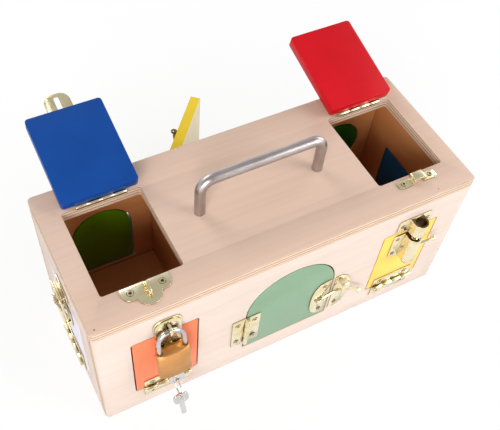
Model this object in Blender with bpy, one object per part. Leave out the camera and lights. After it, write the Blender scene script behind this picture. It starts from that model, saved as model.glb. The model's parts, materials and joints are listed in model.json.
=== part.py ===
"""Wooden latch box: a plywood box with two lids and eight doors, each with a hinge and its own fastening.

Every piece is drawn with its door shut, in the axes of the face that carries it: u to the right,
v upwards and n outwards as someone facing that side sees them. Each moving piece hangs from an
empty on its own axis, and the empty is turned to the piece's rest angle.
World axes: X along the box's length, Y to the back, Z up. The origin lies on the lower edge of the
front wall, at its middle.
"""
from math import asin, atan2, cos, hypot, pi, radians, sin
from types import SimpleNamespace

import bmesh
import bpy
from mathutils import Euler, Matrix, Vector

# Driving dimensions of the box, in metres
BOX_LENGTH = 0.406
BOX_DEPTH = 0.160
BOX_HEIGHT = 0.178
PLY = 0.011
FLOOR_TOP = 0.0337
PARTITION_CENTRE = 0.0795
CORNER_RADIUS = 0.0045
MIDDLE_Y = (BOX_DEPTH - PLY) / 2
# Middle of the bay at each end, between a partition and the end wall
SIDE_BAY = (BOX_LENGTH / 2 - PLY + PARTITION_CENTRE + PLY / 2) / 2
TOP_EASE = 0.0009

# Clearances: between pieces that rest on each other, between pieces that run past each other
SEAT = 0.0003
RUNNING = 0.0003
OVERRUN = 0.010
LET_IN = 0.0002
SAME_PLACE = 0.00001

# How far doors and lids stand open at rest, in degrees, and how fine the curves are
LID_REST = 166
REAR_DOOR_REST = 49
SHARP_ANGLE = 35
ROUND_SIDES = 10

# Butt hinge: one size for every door and lid, and a shorter one for the small rear doors
HINGE = SimpleNamespace(length=0.050, short_length=0.025, leaf_width=0.0155, leaf=0.0010,
                        curl=0.0024, pin=0.0011, knuckles=4)
AXIS_HEIGHT = SEAT + HINGE.curl

# Hasp: hinged strap with a slot that drops over the eye of its staple
HASP = SimpleNamespace(width=0.026, knuckles=3, leaf_length=0.020, axis_inset=0.024, eye_reach=0.0128,
                       tip=0.0122, tip_radius=0.010, step_start=0.007, step_run=0.003,
                       plate=0.0010, eye_depth=0.0026, eye_bar=0.0021, eye_half_gap=0.0051,
                       slot_side=0.0012, slot_end=0.0014)

# Padlock with its keys
PADLOCK = SimpleNamespace(width=0.034, height=0.0345, depth=0.013, ease=0.0008, fullness=2.5,
                          rod=0.0024, leg_spacing=0.0248, opening=0.023, heel=0.020, toe=0.007,
                          plug=0.0048, plug_length=0.020, well_play=0.001)
KEY = SimpleNamespace(depth=0.0018, bow_width=0.0160, bow_height=0.0130, bow_corner=0.005,
                      neck=0.0055, shank=0.0052,
                      hole=0.0022, hole_inset=0.0042, blade=0.017, notch=0.0014, tip=0.0016)
RING = SimpleNamespace(radius=0.0125, wire=0.0008, lean=8)


def finish_of(name, colour, roughness, metallic):
    """A Principled material from the piece's own colour, as linear red, green and blue shares."""
    material = bpy.data.materials.new(name)
    material.use_nodes = True
    shader = material.node_tree.nodes["Principled BSDF"]
    shader.inputs["Base Color"].default_value = (*colour, 1)
    shader.inputs["Roughness"].default_value = roughness
    shader.inputs["Metallic"].default_value = metallic
    material.diffuse_color = (*colour, 1)
    return material


def clear_scene():
    """Start from an empty scene."""
    for item in list(bpy.data.objects):
        bpy.data.objects.remove(item)


# Axes that an outline is extruded in: flat on a face, along u from a (v, n) profile,
# or along v from a (u, n) plan
FLAT = Matrix.Identity(4)
ALONG_U = Matrix(((0, 0, 1, 0), (1, 0, 0, 0), (0, 1, 0, 0), (0, 0, 0, 1)))
ALONG_V = Matrix(((1, 0, 0, 0), (0, 0, 1, 0), (0, 1, 0, 0), (0, 0, 0, 1)))


def solid(shape):
    """Turn a bmesh into an object with its faces pointing out."""
    bmesh.ops.recalc_face_normals(shape, faces=shape.faces)
    mesh = bpy.data.meshes.new("solid")
    shape.to_mesh(mesh)
    shape.free()
    item = bpy.data.objects.new("solid", mesh)
    bpy.context.scene.collection.objects.link(item)
    return item


def prism(outline, low, high, axes=FLAT, ease_high=0.0, ease_low=0.0):
    """Extrude an outline from low to high, with its end edges eased if asked."""
    outline = [point for point, before in zip(outline, outline[-1:] + outline)
               if hypot(point[0] - before[0], point[1] - before[1]) > SAME_PLACE]
    shape = bmesh.new()
    base = shape.faces.new([shape.verts.new((a, b, low)) for a, b in outline])
    grown = bmesh.ops.extrude_face_region(shape, geom=[base])["geom"]
    far = [piece for piece in grown if isinstance(piece, bmesh.types.BMVert)]
    bmesh.ops.translate(shape, verts=far, vec=(0, 0, high - low))
    for ends, ease in ((set(far), ease_high), (set(shape.verts) - set(far), ease_low)):
        if ease:
            rim = [edge for edge in shape.edges if set(edge.verts) <= ends]
            bmesh.ops.bevel(shape, geom=rim, offset=ease, segments=1, affect="EDGES")
    bmesh.ops.transform(shape, matrix=axes, verts=shape.verts)
    return solid(shape)


def ball(centre, radius):
    """A sphere of few faces."""
    shape = bmesh.new()
    bmesh.ops.create_uvsphere(shape, u_segments=ROUND_SIDES, v_segments=ROUND_SIDES // 2 + 1,
                              radius=radius, matrix=Matrix.Translation(centre))
    return solid(shape)


def rod(points, radius, sides=8, closed=False):
    """A round rod along a path, with flat ends or joined into a loop."""
    curve = bpy.data.curves.new("rod", "CURVE")
    curve.dimensions = "3D"
    curve.bevel_depth = radius
    curve.bevel_resolution = (sides - 4) // 2
    curve.use_fill_caps = True
    spline = curve.splines.new("POLY")
    spline.points.add(len(points) - 1)
    for point, place in zip(spline.points, points):
        point.co = (*place, 1)
    spline.use_cyclic_u = closed
    guide = bpy.data.objects.new("rod", curve)
    bpy.context.scene.collection.objects.link(guide)
    bpy.context.view_layer.update()
    shape = bmesh.new()
    shape.from_mesh(guide.evaluated_get(bpy.context.evaluated_depsgraph_get()).to_mesh())
    bpy.data.objects.remove(guide)
    bmesh.ops.remove_doubles(shape, verts=shape.verts, dist=radius / 1000)
    return solid(shape)


def combine(body, tool, operation):
    """Apply one Boolean to the body and take the tool away."""
    modifier = body.modifiers.new("combine", "BOOLEAN")
    modifier.operation = operation
    modifier.material_mode = "TRANSFER"
    modifier.object = tool
    bpy.context.view_layer.update()
    depsgraph = bpy.context.evaluated_depsgraph_get()
    mesh = bpy.data.meshes.new_from_object(body.evaluated_get(depsgraph))
    body.modifiers.remove(modifier)
    body.data = mesh
    bpy.data.objects.remove(tool)
    return body


def cut(body, *tools):
    """Cut every tool out of the body."""
    for tool in tools:
        combine(body, tool, "DIFFERENCE")
    return body


def join(body, *tools):
    """Fuse every tool with the body."""
    for tool in tools:
        combine(body, tool, "UNION")
    return body


def arc(a, b, radius, start, end, steps):
    """Points on a circle, from one angle to another in degrees."""
    angles = [radians(start + (end - start) * step / steps) for step in range(steps + 1)]
    return [(a + radius * cos(angle), b + radius * sin(angle)) for angle in angles]


def circle(a, b, radius, sides=ROUND_SIDES):
    """A closed circle without its first point repeated."""
    return arc(a, b, radius, 0, 360, sides)[:-1]


def rectangle(a_low, a_high, b_low, b_high):
    """A plain rectangle."""
    return [(a_low, b_low), (a_high, b_low), (a_high, b_high), (a_low, b_high)]


def rounded(a_low, a_high, b_low, b_high, radius, steps=3):
    """A rectangle with round corners."""
    points = []
    for a, b, start in ((a_high - radius, b_high - radius, 0), (a_low + radius, b_high - radius, 90),
                        (a_low + radius, b_low + radius, 180), (a_high - radius, b_low + radius, 270)):
        points += arc(a, b, radius, start, start + 90, steps)
    return points


def oval(half_a, half_b, fullness, start, end, steps):
    """Points on an oval that is squarer than an ellipse where fullness is over 2."""
    points = []
    for a, b in arc(0, 0, 1, start, end, steps):
        points.append((half_a * abs(a) ** (2 / fullness) * (1 if a >= 0 else -1),
                       half_b * abs(b) ** (2 / fullness) * (1 if b >= 0 else -1)))
    return points


def filleted(corners, radius, steps=5):
    """A path through its corners, each rounded by an arc."""
    corners = [Vector(corner) for corner in corners]
    path = [corners[0]]
    for before, corner, after in zip(corners, corners[1:], corners[2:]):
        back, ahead = (before - corner).normalized(), (after - corner).normalized()
        half = back.angle(ahead) / 2
        middle = corner + (back + ahead).normalized() * radius / sin(half)
        start = corner + back * radius / (sin(half) / cos(half)) - middle
        end = corner + ahead * radius / (sin(half) / cos(half)) - middle
        turn = start.rotation_difference(end)
        axis, angle = turn.to_axis_angle()
        for step in range(steps + 1):
            place = middle + Matrix.Rotation(angle * step / steps, 3, axis) @ start
            if (place - path[-1]).length > radius / 100:
                path.append(place)
    return path + [corners[-1]]


def through(knots, steps):
    """A smooth path through its knots, by cubic pieces."""
    knots = [Vector(knot) for knot in knots]
    padded = [2 * knots[0] - knots[1]] + knots + [2 * knots[-1] - knots[-2]]
    path = []
    for index in range(len(knots) - 1):
        a, b, c, d = padded[index:index + 4]
        for step in range(steps):
            t = step / steps
            path.append(b + (c - a) * t / 2 + (2 * a - 5 * b + 4 * c - d) * t * t / 2
                        + (3 * b - a - 3 * c + d) * t * t * t / 2)
    return path + [knots[-1]]


def moved(item, u=0.0, v=0.0, n=0.0, turn=0):
    """Turn a drawn piece on its face by an angle in degrees, then shift it."""
    item.data.transform(Matrix.Translation((u, v, n)) @ Matrix.Rotation(radians(turn), 4, "Z"))
    return item


class Carrier:
    """An empty that carries pieces, with its place in the face's axes when everything is shut."""

    def __init__(self, name, parent, place, rest):
        self.place = place
        self.empty = bpy.data.objects.new(name, None)
        self.empty.empty_display_size = PLY
        bpy.context.scene.collection.objects.link(self.empty)
        self.empty.parent = parent
        self.empty.matrix_basis = rest

    def carry(self, item, name, material):
        """Name a piece drawn in the face's axes, colour it and hang it from this empty."""
        item.name = name
        item.data.name = name
        if not item.data.materials:
            item.data.materials.append(material)
        item.data.transform(self.place.inverted())
        item.data.shade_smooth()
        item.data.set_sharp_from_angle(angle=radians(SHARP_ANGLE))
        item.parent = self.empty
        return item


def face(name, place, lean, turn):
    """One side of the box, with its own axes."""
    rest = Matrix.Translation(place) @ Euler((radians(lean), 0, radians(turn))).to_matrix().to_4x4()
    return Carrier(name, None, Matrix.Identity(4), rest)


def pivot(name, on, u, v, n, turn=0, opened=0.0):
    """An empty on a joint's axis: its local X lies along the axis, turned on the face by an angle."""
    place = Matrix.Translation((u, v, n)) @ Matrix.Rotation(radians(turn), 4, "Z")
    rest = on.place.inverted() @ place @ Matrix.Rotation(radians(opened), 4, "X")
    return Carrier(name, on.empty, place, rest)


def spindle(name, on, u, v, n):
    """An empty on an axis that stands out of the face along its normal, which is the local Z."""
    place = Matrix.Translation((u, v, n))
    return Carrier(name, on.empty, place, on.place.inverted() @ place)


def swing_gap(reach):
    """The gap at a door's free edge that lets its inner corner swing out past the frame."""
    return hypot(reach, PLY + AXIS_HEIGHT) - reach + RUNNING


def leaf_profile(width, low=SEAT):
    """A hinge leaf seen from its end: a plate along +a, curled round the pin over a = 0."""
    top = SEAT + HINGE.leaf
    meets = asin((top - AXIS_HEIGHT) / HINGE.curl) * 180 / pi
    outline = arc(0, AXIS_HEIGHT, HINGE.curl, meets, 270, 10)
    if low < SEAT:
        outline += [(HINGE.curl, SEAT), (HINGE.curl, low)]
    return outline + [(width, low), (width, top)]


def hinge(length, knuckles, fixed_profile, moving_profile):
    """Two leaves along u that share a pin: the fixed leaf towards -v holds it, the moving one turns."""
    half = length / 2
    fixed = moved(prism(fixed_profile, -half, half, ALONG_U), turn=180)
    moving = prism(moving_profile, -half, half, ALONG_U)
    pitch = length / knuckles
    reach = HINGE.curl + RUNNING
    for index in range(knuckles):
        low = index * pitch - half - (RUNNING / 2 if index else OVERRUN)
        high = (index + 1) * pitch - half + (RUNNING / 2 if index < knuckles - 1 else OVERRUN)
        space = prism(rectangle(low, high, -reach, reach), -OVERRUN, OVERRUN)
        cut(fixed if index % 2 else moving, space)
    bore = prism(circle(0, AXIS_HEIGHT, HINGE.pin + RUNNING), -half - OVERRUN, half + OVERRUN, ALONG_U)
    cut(moving, bore)
    last = half - pitch / 2 if knuckles % 2 else half
    pin = prism(circle(0, AXIS_HEIGHT, HINGE.pin, 8), pitch / 2 - half, last, ALONG_U)
    return join(fixed, pin), moving


def door_hinge(name, on, door, u, v, turn):
    """A hinge on the face of the box, as two pieces of their own."""
    fixed, moving = hinge(HINGE.length, HINGE.knuckles, leaf_profile(HINGE.leaf_width),
                          leaf_profile(HINGE.leaf_width))
    on.carry(moved(fixed, u, v, turn=turn), name + "_hinge_fixed", BRASS)
    door.carry(moved(moving, u, v, turn=turn), name + "_hinge_moving", BRASS)


def let_in_hinge(length, u, v, turn):
    """A hinge whose leaves are let into the wood, to be fused with the panel and the door."""
    profile = leaf_profile(HINGE.leaf_width, -LET_IN)
    leaves = hinge(length, HINGE.knuckles, profile, profile)
    for leaf in leaves:
        leaf.data.materials.append(BRASS)
        moved(leaf, u, v, turn=turn)
    return leaves


def box_door(low_u, high_u, low_v, high_v):
    """A square-cut door leaf, flush with the face and as thick as the panel."""
    return prism(rounded(low_u, high_u, low_v, high_v, DOOR_CORNER, 2), -PLY, 0)


def opening(low_u, high_u, low_v, high_v, gap):
    """The cutter for a door's opening, larger than the door by the gap all round."""
    radius = DOOR_CORNER + gap
    return prism(rounded(low_u - gap, high_u + gap, low_v - gap, high_v + gap, radius, 2),
                 -PLY - OVERRUN, OVERRUN)


def arch_outline(low_u, high_u, low_v, grow=0.0, top_v=0.0, steps=18):
    """A door with a half-round head, whose head springs at top_v less the half width."""
    middle, radius = (low_u + high_u) / 2, (high_u - low_u) / 2
    head = arc(middle, top_v - radius, radius + grow, 0, 180, steps)
    return [(low_u - grow, low_v - grow), (high_u + grow, low_v - grow)] + head


WOOD = finish_of("birch_ply", (0.71, 0.52, 0.38), 0.55, 0)
BLUE = finish_of("blue_paint", (0.011, 0.080, 0.328), 0.35, 0)
RED = finish_of("red_paint", (0.686, 0.013, 0.023), 0.35, 0)
ORANGE = finish_of("orange_paint", (1.0, 0.296, 0.141), 0.4, 0)
GREEN = finish_of("green_paint", (0.327, 0.497, 0.327), 0.4, 0)
YELLOW = finish_of("yellow_paint", (0.956, 0.807, 0.190), 0.4, 0)
LILAC = finish_of("lilac_paint", (0.761, 0.716, 0.807), 0.4, 0)
REAR_YELLOW = finish_of("rear_yellow_paint", (0.831, 0.546, 0.038), 0.4, 0)
DARK_GREEN = finish_of("dark_green_paint", (0.013, 0.090, 0.040), 0.4, 0)
DARK_BLUE = finish_of("dark_blue_paint", (0.010, 0.040, 0.160), 0.4, 0)
BRASS = finish_of("bright_brass", (0.753, 0.610, 0.262), 0.3, 1)
LOCK_BRASS = finish_of("matte_brass", (0.610, 0.376, 0.156), 0.45, 1)
DARK_BRASS = finish_of("dark_brass", (0.240, 0.160, 0.060), 0.45, 1)
STEEL = finish_of("satin_steel", (0.40, 0.37, 0.36), 0.4, 1)
CHROME = finish_of("chrome", (0.80, 0.80, 0.82), 0.12, 1)
NICKEL = finish_of("nickel", (0.62, 0.61, 0.60), 0.25, 1)


def in_bay(side, outward, width, low_v, high_v):
    """A door of one end's bay: its middle lies outward of the bay's, on the side of -u or +u."""
    middle = side * (SIDE_BAY + outward)
    return middle - width / 2, middle + width / 2, low_v, high_v


# Doors and lids, each as low u, high u, low v and high v on its own face
DOOR_CORNER = 0.0012
LID_CORNER = 0.0032
OPENING_CORNER = 0.0026
ORANGE_DOOR = in_bay(-1, -0.0032, 0.0654, 0.0340, 0.1310)
GREEN_DOOR = (-0.0483, 0.0512, 0.0270, 0.1430)
YELLOW_DOOR = in_bay(1, -0.0007, 0.0636, 0.0335, 0.1312)
LILAC_DOOR = (-0.0333, 0.0403, 0.0330, 0.1310)
REAR_DOOR = (-0.0600, 0.0745, 0.0340, 0.1300)
ARCH_MARGIN = SimpleNamespace(partition=0.0233, end=0.0222)
ARCH_DOOR = (PARTITION_CENTRE + PLY / 2 + ARCH_MARGIN.partition, BOX_LENGTH / 2 - PLY - ARCH_MARGIN.end,
             0.0400, 0.1325)
ROUND_DOOR = SimpleNamespace(outward=0.0025, v=0.102, radius=0.0325)
RIGHT_END_DOOR = (-0.0365, 0.0365, 0.0340, 0.1090)
BLUE_LID = in_bay(-1, 0.00285, 0.0759, -0.0469, 0.0476)
RED_LID = in_bay(1, 0.00695, 0.0729, -0.0466, 0.0481)

# Carry handle: a bent rod that stands on the top
HANDLE = SimpleNamespace(spacing=0.128, v=-0.002, height=0.043, bend=0.0135, rod=0.0055)

# Staple of the blue lid: a band with a round lobe at each end and a round ear in the middle. The one
# under the orange strap is plain
BLUE_STAPLE = SimpleNamespace(width=0.0470, near=0.0026, far=0.0172, corner=0.002, lobe=0.0085,
                              ear_radius=0.0117, ear=0.0272)
ORANGE_STAPLE = SimpleNamespace(width=0.028, near=0.0032, far=0.0262, radius=0.008)
ORANGE_HASP_ASIDE = 0.0020

# Barrel bolts: sizes across (u), along the bolt from the door's edge (v) and out of the face (n)
YELLOW_BOLT = SimpleNamespace(plate_width=0.040, plate_start=0.0032, plate_end=0.0412, plate=0.0012,
                              corner=0.003, wall=0.0018, rod=0.0053, play=0.0006, stem=0.0018,
                              stem_length=0.0295, knob=0.0033, stem_place=0.0240, travel=0.016,
                              tail=0.006, nose=0.0025, keeper_start=0.0022, keeper_length=0.0176,
                              stem_sideways=True)
RED_BOLT = SimpleNamespace(plate_width=0.036, plate_start=0.0020, plate_end=0.0330, plate=0.0012,
                           corner=0.002, wall=0.0010, rod=0.0022, play=0.0003, stem=0.0012,
                           stem_length=0.0100, knob=0.0026, stem_place=0.0205, travel=0.012,
                           tail=0.004, nose=0.0010, keeper_start=0.0040, keeper_length=0.0092,
                           stem_sideways=False)
RED_KEEPER = SimpleNamespace(width=0.0442, strap=0.0140, bend=0.002)
RED_BOLT_ASIDE = 0.0006

# Swing catch of the green door: two half-oval plates, an arm with a ball end, and a hooked lug
CATCH = SimpleNamespace(width=0.0210, half_height=0.031, v=0.0640, plate=0.0010, fullness=2.7, inset=0.0020,
                        pivot_inset=0.0120, post=0.0016, hub=0.0044, hub_depth=0.0020, head=0.0032,
                        head_depth=0.0012, arm=0.0018, ball=0.0033, lug_width=0.0080, lug=0.0015,
                        lug_inset=0.0075, lug_drop=0.0090, rest_gap=0.0006)
# Knots of the arm's route from its hub, across, up and out of the face
CATCH_ARM = ((0, 0, 0.0036), (0.0085, 0.0075, 0.0041), (0.0175, 0.0125, 0.0056), (0.0275, 0.0120, 0.0066),
             (0.0365, 0.0060, 0.0066), (0.0445, -0.0025, 0.0066), (0.0490, -0.0065, 0.0066))

# Draw latch of the left end door: keeper above, base, lever and wire bail on the door
LATCH = SimpleNamespace(width=0.028, plate=0.0012, radius=0.002, base_low=0.0380, base_height=0.024,
                        keeper_start=0.0022, keeper_height=0.0145, ear=0.0012, ear_half=0.0030,
                        ear_out=0.0064, pin=0.0011, pin_v=0.0325, pin_n=0.0042, cheek=0.0010,
                        cheek_half=0.0112, lever_out=0.0078, lever_length=0.0240, tab_length=0.0070,
                        tab_rise=0.0030, tab_half=0.0080, wire=0.0010, bail_v=0.0230, bail_n=0.0048,
                        bail_half=0.0126, lip_half=0.0090, lip=0.0012, lip_out=0.0054,
                        lip_height=0.0055, lip_start=0.0035, bail_over=0.0048)

# Gate hook of the rear door, and the turn buttons of the small rear doors
HOOK = SimpleNamespace(from_hinge=0.089, v=0.116, eye=0.0032, wire=0.0011, shank=0.0028, length=0.058,
                       rod=0.0014, bend=0.0040)
BUTTON = SimpleNamespace(length=0.030, width=0.0090, depth=0.0026, hole=0.0018, from_door=0.0075,
                         ease=0.0006)
ARCH_BUTTON_RISE = 0.0065


def round_door_u():
    """Where the round door's middle lies across the back."""
    return -SIDE_BAY - ROUND_DOOR.outward


def make_panels(front, left_end, top):
    """The plywood shell: four walls under the top, a raised floor and two partitions."""
    wall_top = BOX_HEIGHT - PLY - SEAT
    half_length, half_depth = BOX_LENGTH / 2, BOX_DEPTH / 2
    inner = half_depth - PLY - SEAT
    inner_length = half_length - PLY - SEAT

    def long_wall():
        plan = [(-half_length, -PLY), (half_length, -PLY)]
        plan += arc(half_length - CORNER_RADIUS, -CORNER_RADIUS, CORNER_RADIUS, 0, 90, 4)
        plan += arc(CORNER_RADIUS - half_length, -CORNER_RADIUS, CORNER_RADIUS, 90, 180, 4)
        return prism(plan, 0, wall_top, ALONG_V)

    def door_space(door, across):
        return opening(*door, swing_gap(across))

    wall = long_wall()
    for door in (ORANGE_DOOR, YELLOW_DOOR):
        cut(wall, door_space(door, door[3] - door[2]))
    gap = swing_gap(GREEN_DOOR[1] - GREEN_DOOR[0])
    cut(wall, prism(arch_outline(*GREEN_DOOR[:3], gap, GREEN_DOOR[3]), -PLY - OVERRUN, OVERRUN))
    front.carry(wall, "front_panel", WOOD)

    wall = long_wall()
    wall.data.materials.append(WOOD)
    cut(wall, door_space(REAR_DOOR, REAR_DOOR[1] - REAR_DOOR[0]))
    gap = swing_gap(ARCH_DOOR[1] - ARCH_DOOR[0])
    cut(wall, prism(arch_outline(*ARCH_DOOR[:3], gap, ARCH_DOOR[3]), -PLY - OVERRUN, OVERRUN))
    gap = swing_gap(2 * ROUND_DOOR.radius)
    hole = circle(round_door_u(), ROUND_DOOR.v, ROUND_DOOR.radius + gap, 32)
    cut(wall, prism(hole, -PLY - OVERRUN, OVERRUN))
    rear_panel = wall

    def end_wall(door, across):
        return cut(prism(rectangle(-inner, inner, 0, wall_top), -PLY, 0), door_space(door, across))

    left_end.carry(end_wall(LILAC_DOOR, LILAC_DOOR[3] - LILAC_DOOR[2]), "left_end_panel", WOOD)
    right_panel = end_wall(RIGHT_END_DOOR, RIGHT_END_DOOR[1] - RIGHT_END_DOOR[0])
    right_panel.data.materials.append(WOOD)

    lid = rounded(-half_length, half_length, -half_depth, half_depth, CORNER_RADIUS, 4)
    slab = prism(lid, -PLY, 0, ease_high=TOP_EASE)
    for door in (BLUE_LID, RED_LID):
        gap = swing_gap(door[3] - door[2])
        low_u, high_u, low_v, high_v = door
        space = rounded(low_u - gap, high_u + gap, low_v - gap, high_v + gap, OPENING_CORNER)
        cut(slab, prism(space, -PLY - OVERRUN, OVERRUN))
    top.carry(slab, "top_panel", WOOD)

    floor = rectangle(-inner_length, inner_length, -inner, inner)
    floor_n = FLOOR_TOP - BOX_HEIGHT
    top.carry(prism(floor, floor_n - PLY, floor_n), "floor_panel", WOOD)
    for name, middle in (("left_partition", -PARTITION_CENTRE), ("right_partition", PARTITION_CENTRE)):
        plan = rectangle(middle - PLY / 2, middle + PLY / 2, -inner, inner)
        top.carry(prism(plan, floor_n + SEAT, -PLY - SEAT), name, WOOD)
    return rear_panel, right_panel


def make_handle(top):
    """The carry handle: one rod bent square, standing on the top between the lids."""
    half = HANDLE.spacing / 2
    corners = ((-half, HANDLE.v, SEAT), (-half, HANDLE.v, HANDLE.height),
               (half, HANDLE.v, HANDLE.height), (half, HANDLE.v, SEAT))
    top.carry(rod(filleted(corners, HANDLE.bend, 6), HANDLE.rod, 14), "carry_handle", STEEL)


def hasp_strap_profile():
    """The strap seen from its side: curled round the pin, then stepped up to clear the staple."""
    low, lift = SEAT, SEAT + HASP.plate + SEAT
    tip = HASP.axis_inset + HASP.eye_reach + HASP.tip
    step, stepped = HASP.step_start, HASP.step_start + HASP.step_run
    outline = leaf_profile(tip)[:-2]
    outline += [(step, low), (stepped, lift), (tip, lift), (tip, lift + HINGE.leaf)]
    return outline + [(stepped, lift + HINGE.leaf), (step, low + HINGE.leaf)]


def hasp(name, door, u, v, turn):
    """A hasp at the middle of a door's free edge, drawn with +v across the gap, then turned."""
    leaf, strap = hinge(HASP.width, HASP.knuckles, leaf_profile(HASP.leaf_length), hasp_strap_profile())
    half, tip = HASP.width / 2, HASP.axis_inset + HASP.eye_reach + HASP.tip
    blank = prism(rounded(-half, half, -2 * OVERRUN, tip, HASP.tip_radius, 5), -OVERRUN, OVERRUN)
    combine(strap, blank, "INTERSECT")
    eye_v = HASP.axis_inset + HASP.eye_reach
    slot_u = HASP.eye_depth / 2 + HASP.slot_side
    slot_v = HASP.eye_half_gap + HASP.eye_bar + HASP.slot_end
    cut(strap, prism(rounded(-slot_u, slot_u, eye_v - slot_v, eye_v + slot_v, slot_u), -OVERRUN, OVERRUN))
    shift = Matrix.Rotation(radians(turn), 4, "Z") @ Vector((0, -HASP.axis_inset, 0))
    axis_u, axis_v = u + shift.x, v + shift.y
    door.carry(moved(leaf, axis_u, axis_v, turn=turn), name + "_hasp_leaf", BRASS)
    hung = pivot(name + "_hasp_axis", door, axis_u, axis_v, AXIS_HEIGHT, turn)
    hung.carry(moved(strap, axis_u, axis_v, turn=turn), name + "_hasp_strap", BRASS)


def staple(outline, ear=None):
    """A staple drawn with its eye's foot at the eye's place: a plate and an eye bent up from it."""
    plate = prism(outline, SEAT, SEAT + HASP.plate)
    if ear:
        join(plate, prism(ear, SEAT, SEAT + HASP.plate))
    top = SEAT + HASP.plate
    gap_top = eye_gap_top()
    half, outer = HASP.eye_half_gap, HASP.eye_half_gap + HASP.eye_bar
    loop = rounded(HASP.eye_reach - outer, HASP.eye_reach + outer, -outer, gap_top + HASP.eye_bar,
                   half / 2 + HASP.eye_bar)
    hole = rounded(HASP.eye_reach - half, HASP.eye_reach + half, top - half, gap_top, half / 2)
    eye_half = HASP.eye_depth / 2
    eye = cut(prism(loop, -eye_half, eye_half, ALONG_U), prism(hole, -OVERRUN, OVERRUN, ALONG_U))
    below = prism(rectangle(-OVERRUN, OVERRUN, 0, 2 * HASP.eye_reach), -OVERRUN, top - HASP.plate / 2)
    return join(plate, cut(eye, below))


def arch_height():
    """How far the padlock's rod stands out of the face where it passes through the eye."""
    return SEAT + HASP.plate + SEAT + HINGE.leaf + 2 * SEAT + PADLOCK.rod


def eye_gap_top():
    """The underside of the eye's bridge, just over the padlock's rod."""
    return arch_height() + PADLOCK.rod + SEAT + SEAT / 2


def make_blue_lid(top):
    """The blue lid with its hinge at the back and a hasp at the front."""
    low_u, high_u, low_v, high_v = BLUE_LID
    middle, gap = (low_u + high_u) / 2, swing_gap(high_v - low_v)
    lid = pivot("blue_lid_axis", top, middle, high_v + gap / 2, AXIS_HEIGHT, 180, LID_REST)
    lid.carry(prism(rounded(low_u, high_u, low_v, high_v, LID_CORNER), -PLY, 0), "blue_lid", BLUE)
    door_hinge("blue_lid", top, lid, middle, high_v + gap / 2, 180)
    hasp("blue", lid, middle, low_v, 180)
    half, lobe, corner = BLUE_STAPLE.width / 2, BLUE_STAPLE.lobe, BLUE_STAPLE.corner
    band = arc(half - lobe, BLUE_STAPLE.far - lobe, lobe, 0, 90, 5)
    band += arc(lobe - half, BLUE_STAPLE.far - lobe, lobe, 90, 180, 5)
    band += arc(corner - half, BLUE_STAPLE.near + corner, corner, 180, 270, 3)
    band += arc(half - corner, BLUE_STAPLE.near + corner, corner, 270, 360, 3)
    ear = circle(0, BLUE_STAPLE.ear - BLUE_STAPLE.ear_radius, BLUE_STAPLE.ear_radius, 24)
    top.carry(moved(staple(band, ear), middle, low_v, turn=180), "blue_hasp_staple", BRASS)


def make_red_lid(top):
    """The red lid with its hinge at the back and a barrel bolt at the front."""
    low_u, high_u, low_v, high_v = RED_LID
    middle, gap = (low_u + high_u) / 2, swing_gap(high_v - low_v)
    lid = pivot("red_lid_axis", top, middle, high_v + gap / 2, AXIS_HEIGHT, 180, LID_REST)
    lid.carry(prism(rounded(low_u, high_u, low_v, high_v, LID_CORNER), -PLY, 0), "red_lid", RED)
    door_hinge("red_lid", top, lid, middle, high_v + gap / 2, 180)
    barrel_bolt("red_bolt", RED_BOLT, lid, middle + RED_BOLT_ASIDE, low_v, 180)
    start = gap + RED_BOLT.keeper_start
    keeper = strap_keeper(RED_BOLT, RED_KEEPER, start, start + RED_BOLT.keeper_length)
    top.carry(moved(keeper, middle + RED_BOLT_ASIDE, low_v, turn=180), "red_bolt_keeper", BRASS)


def strap_keeper(size, keeper, low, high):
    """A flat strip bent up into a square bridge that the bolt shoots under."""
    half, inner = keeper.strap / 2, keeper.strap / 2 - size.plate
    under = bolt_height(size) + size.rod + size.play
    top, bend = under + size.plate, keeper.bend
    plan = [(-half, SEAT), (half, SEAT)] + arc(half - bend, top - bend, bend, 0, 90, 3)
    plan += arc(bend - half, top - bend, bend, 90, 180, 3)
    strip = prism(rounded(-keeper.width / 2, keeper.width / 2, low, high, size.corner), SEAT,
                  SEAT + size.plate)
    join(strip, prism(plan, low, high, ALONG_V))
    return cut(strip, prism(rounded(-inner, inner, -OVERRUN, under, bend - size.plate / 2),
                            low - OVERRUN, high + OVERRUN, ALONG_V))


def bridge(size, radius, low, high):
    """A half-round bridge over a bolt, along v."""
    outer, out = radius + size.wall, bolt_height(size)
    plan = [(-outer, SEAT + size.plate / 2), (outer, SEAT + size.plate / 2)]
    return prism(plan + arc(0, out, outer, 0, 180, 12), low, high, ALONG_V)


def bolt_height(size):
    """How far the bolt's own axis stands out of the face."""
    return SEAT + size.plate + size.wall / 2 + size.play + size.rod


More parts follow.
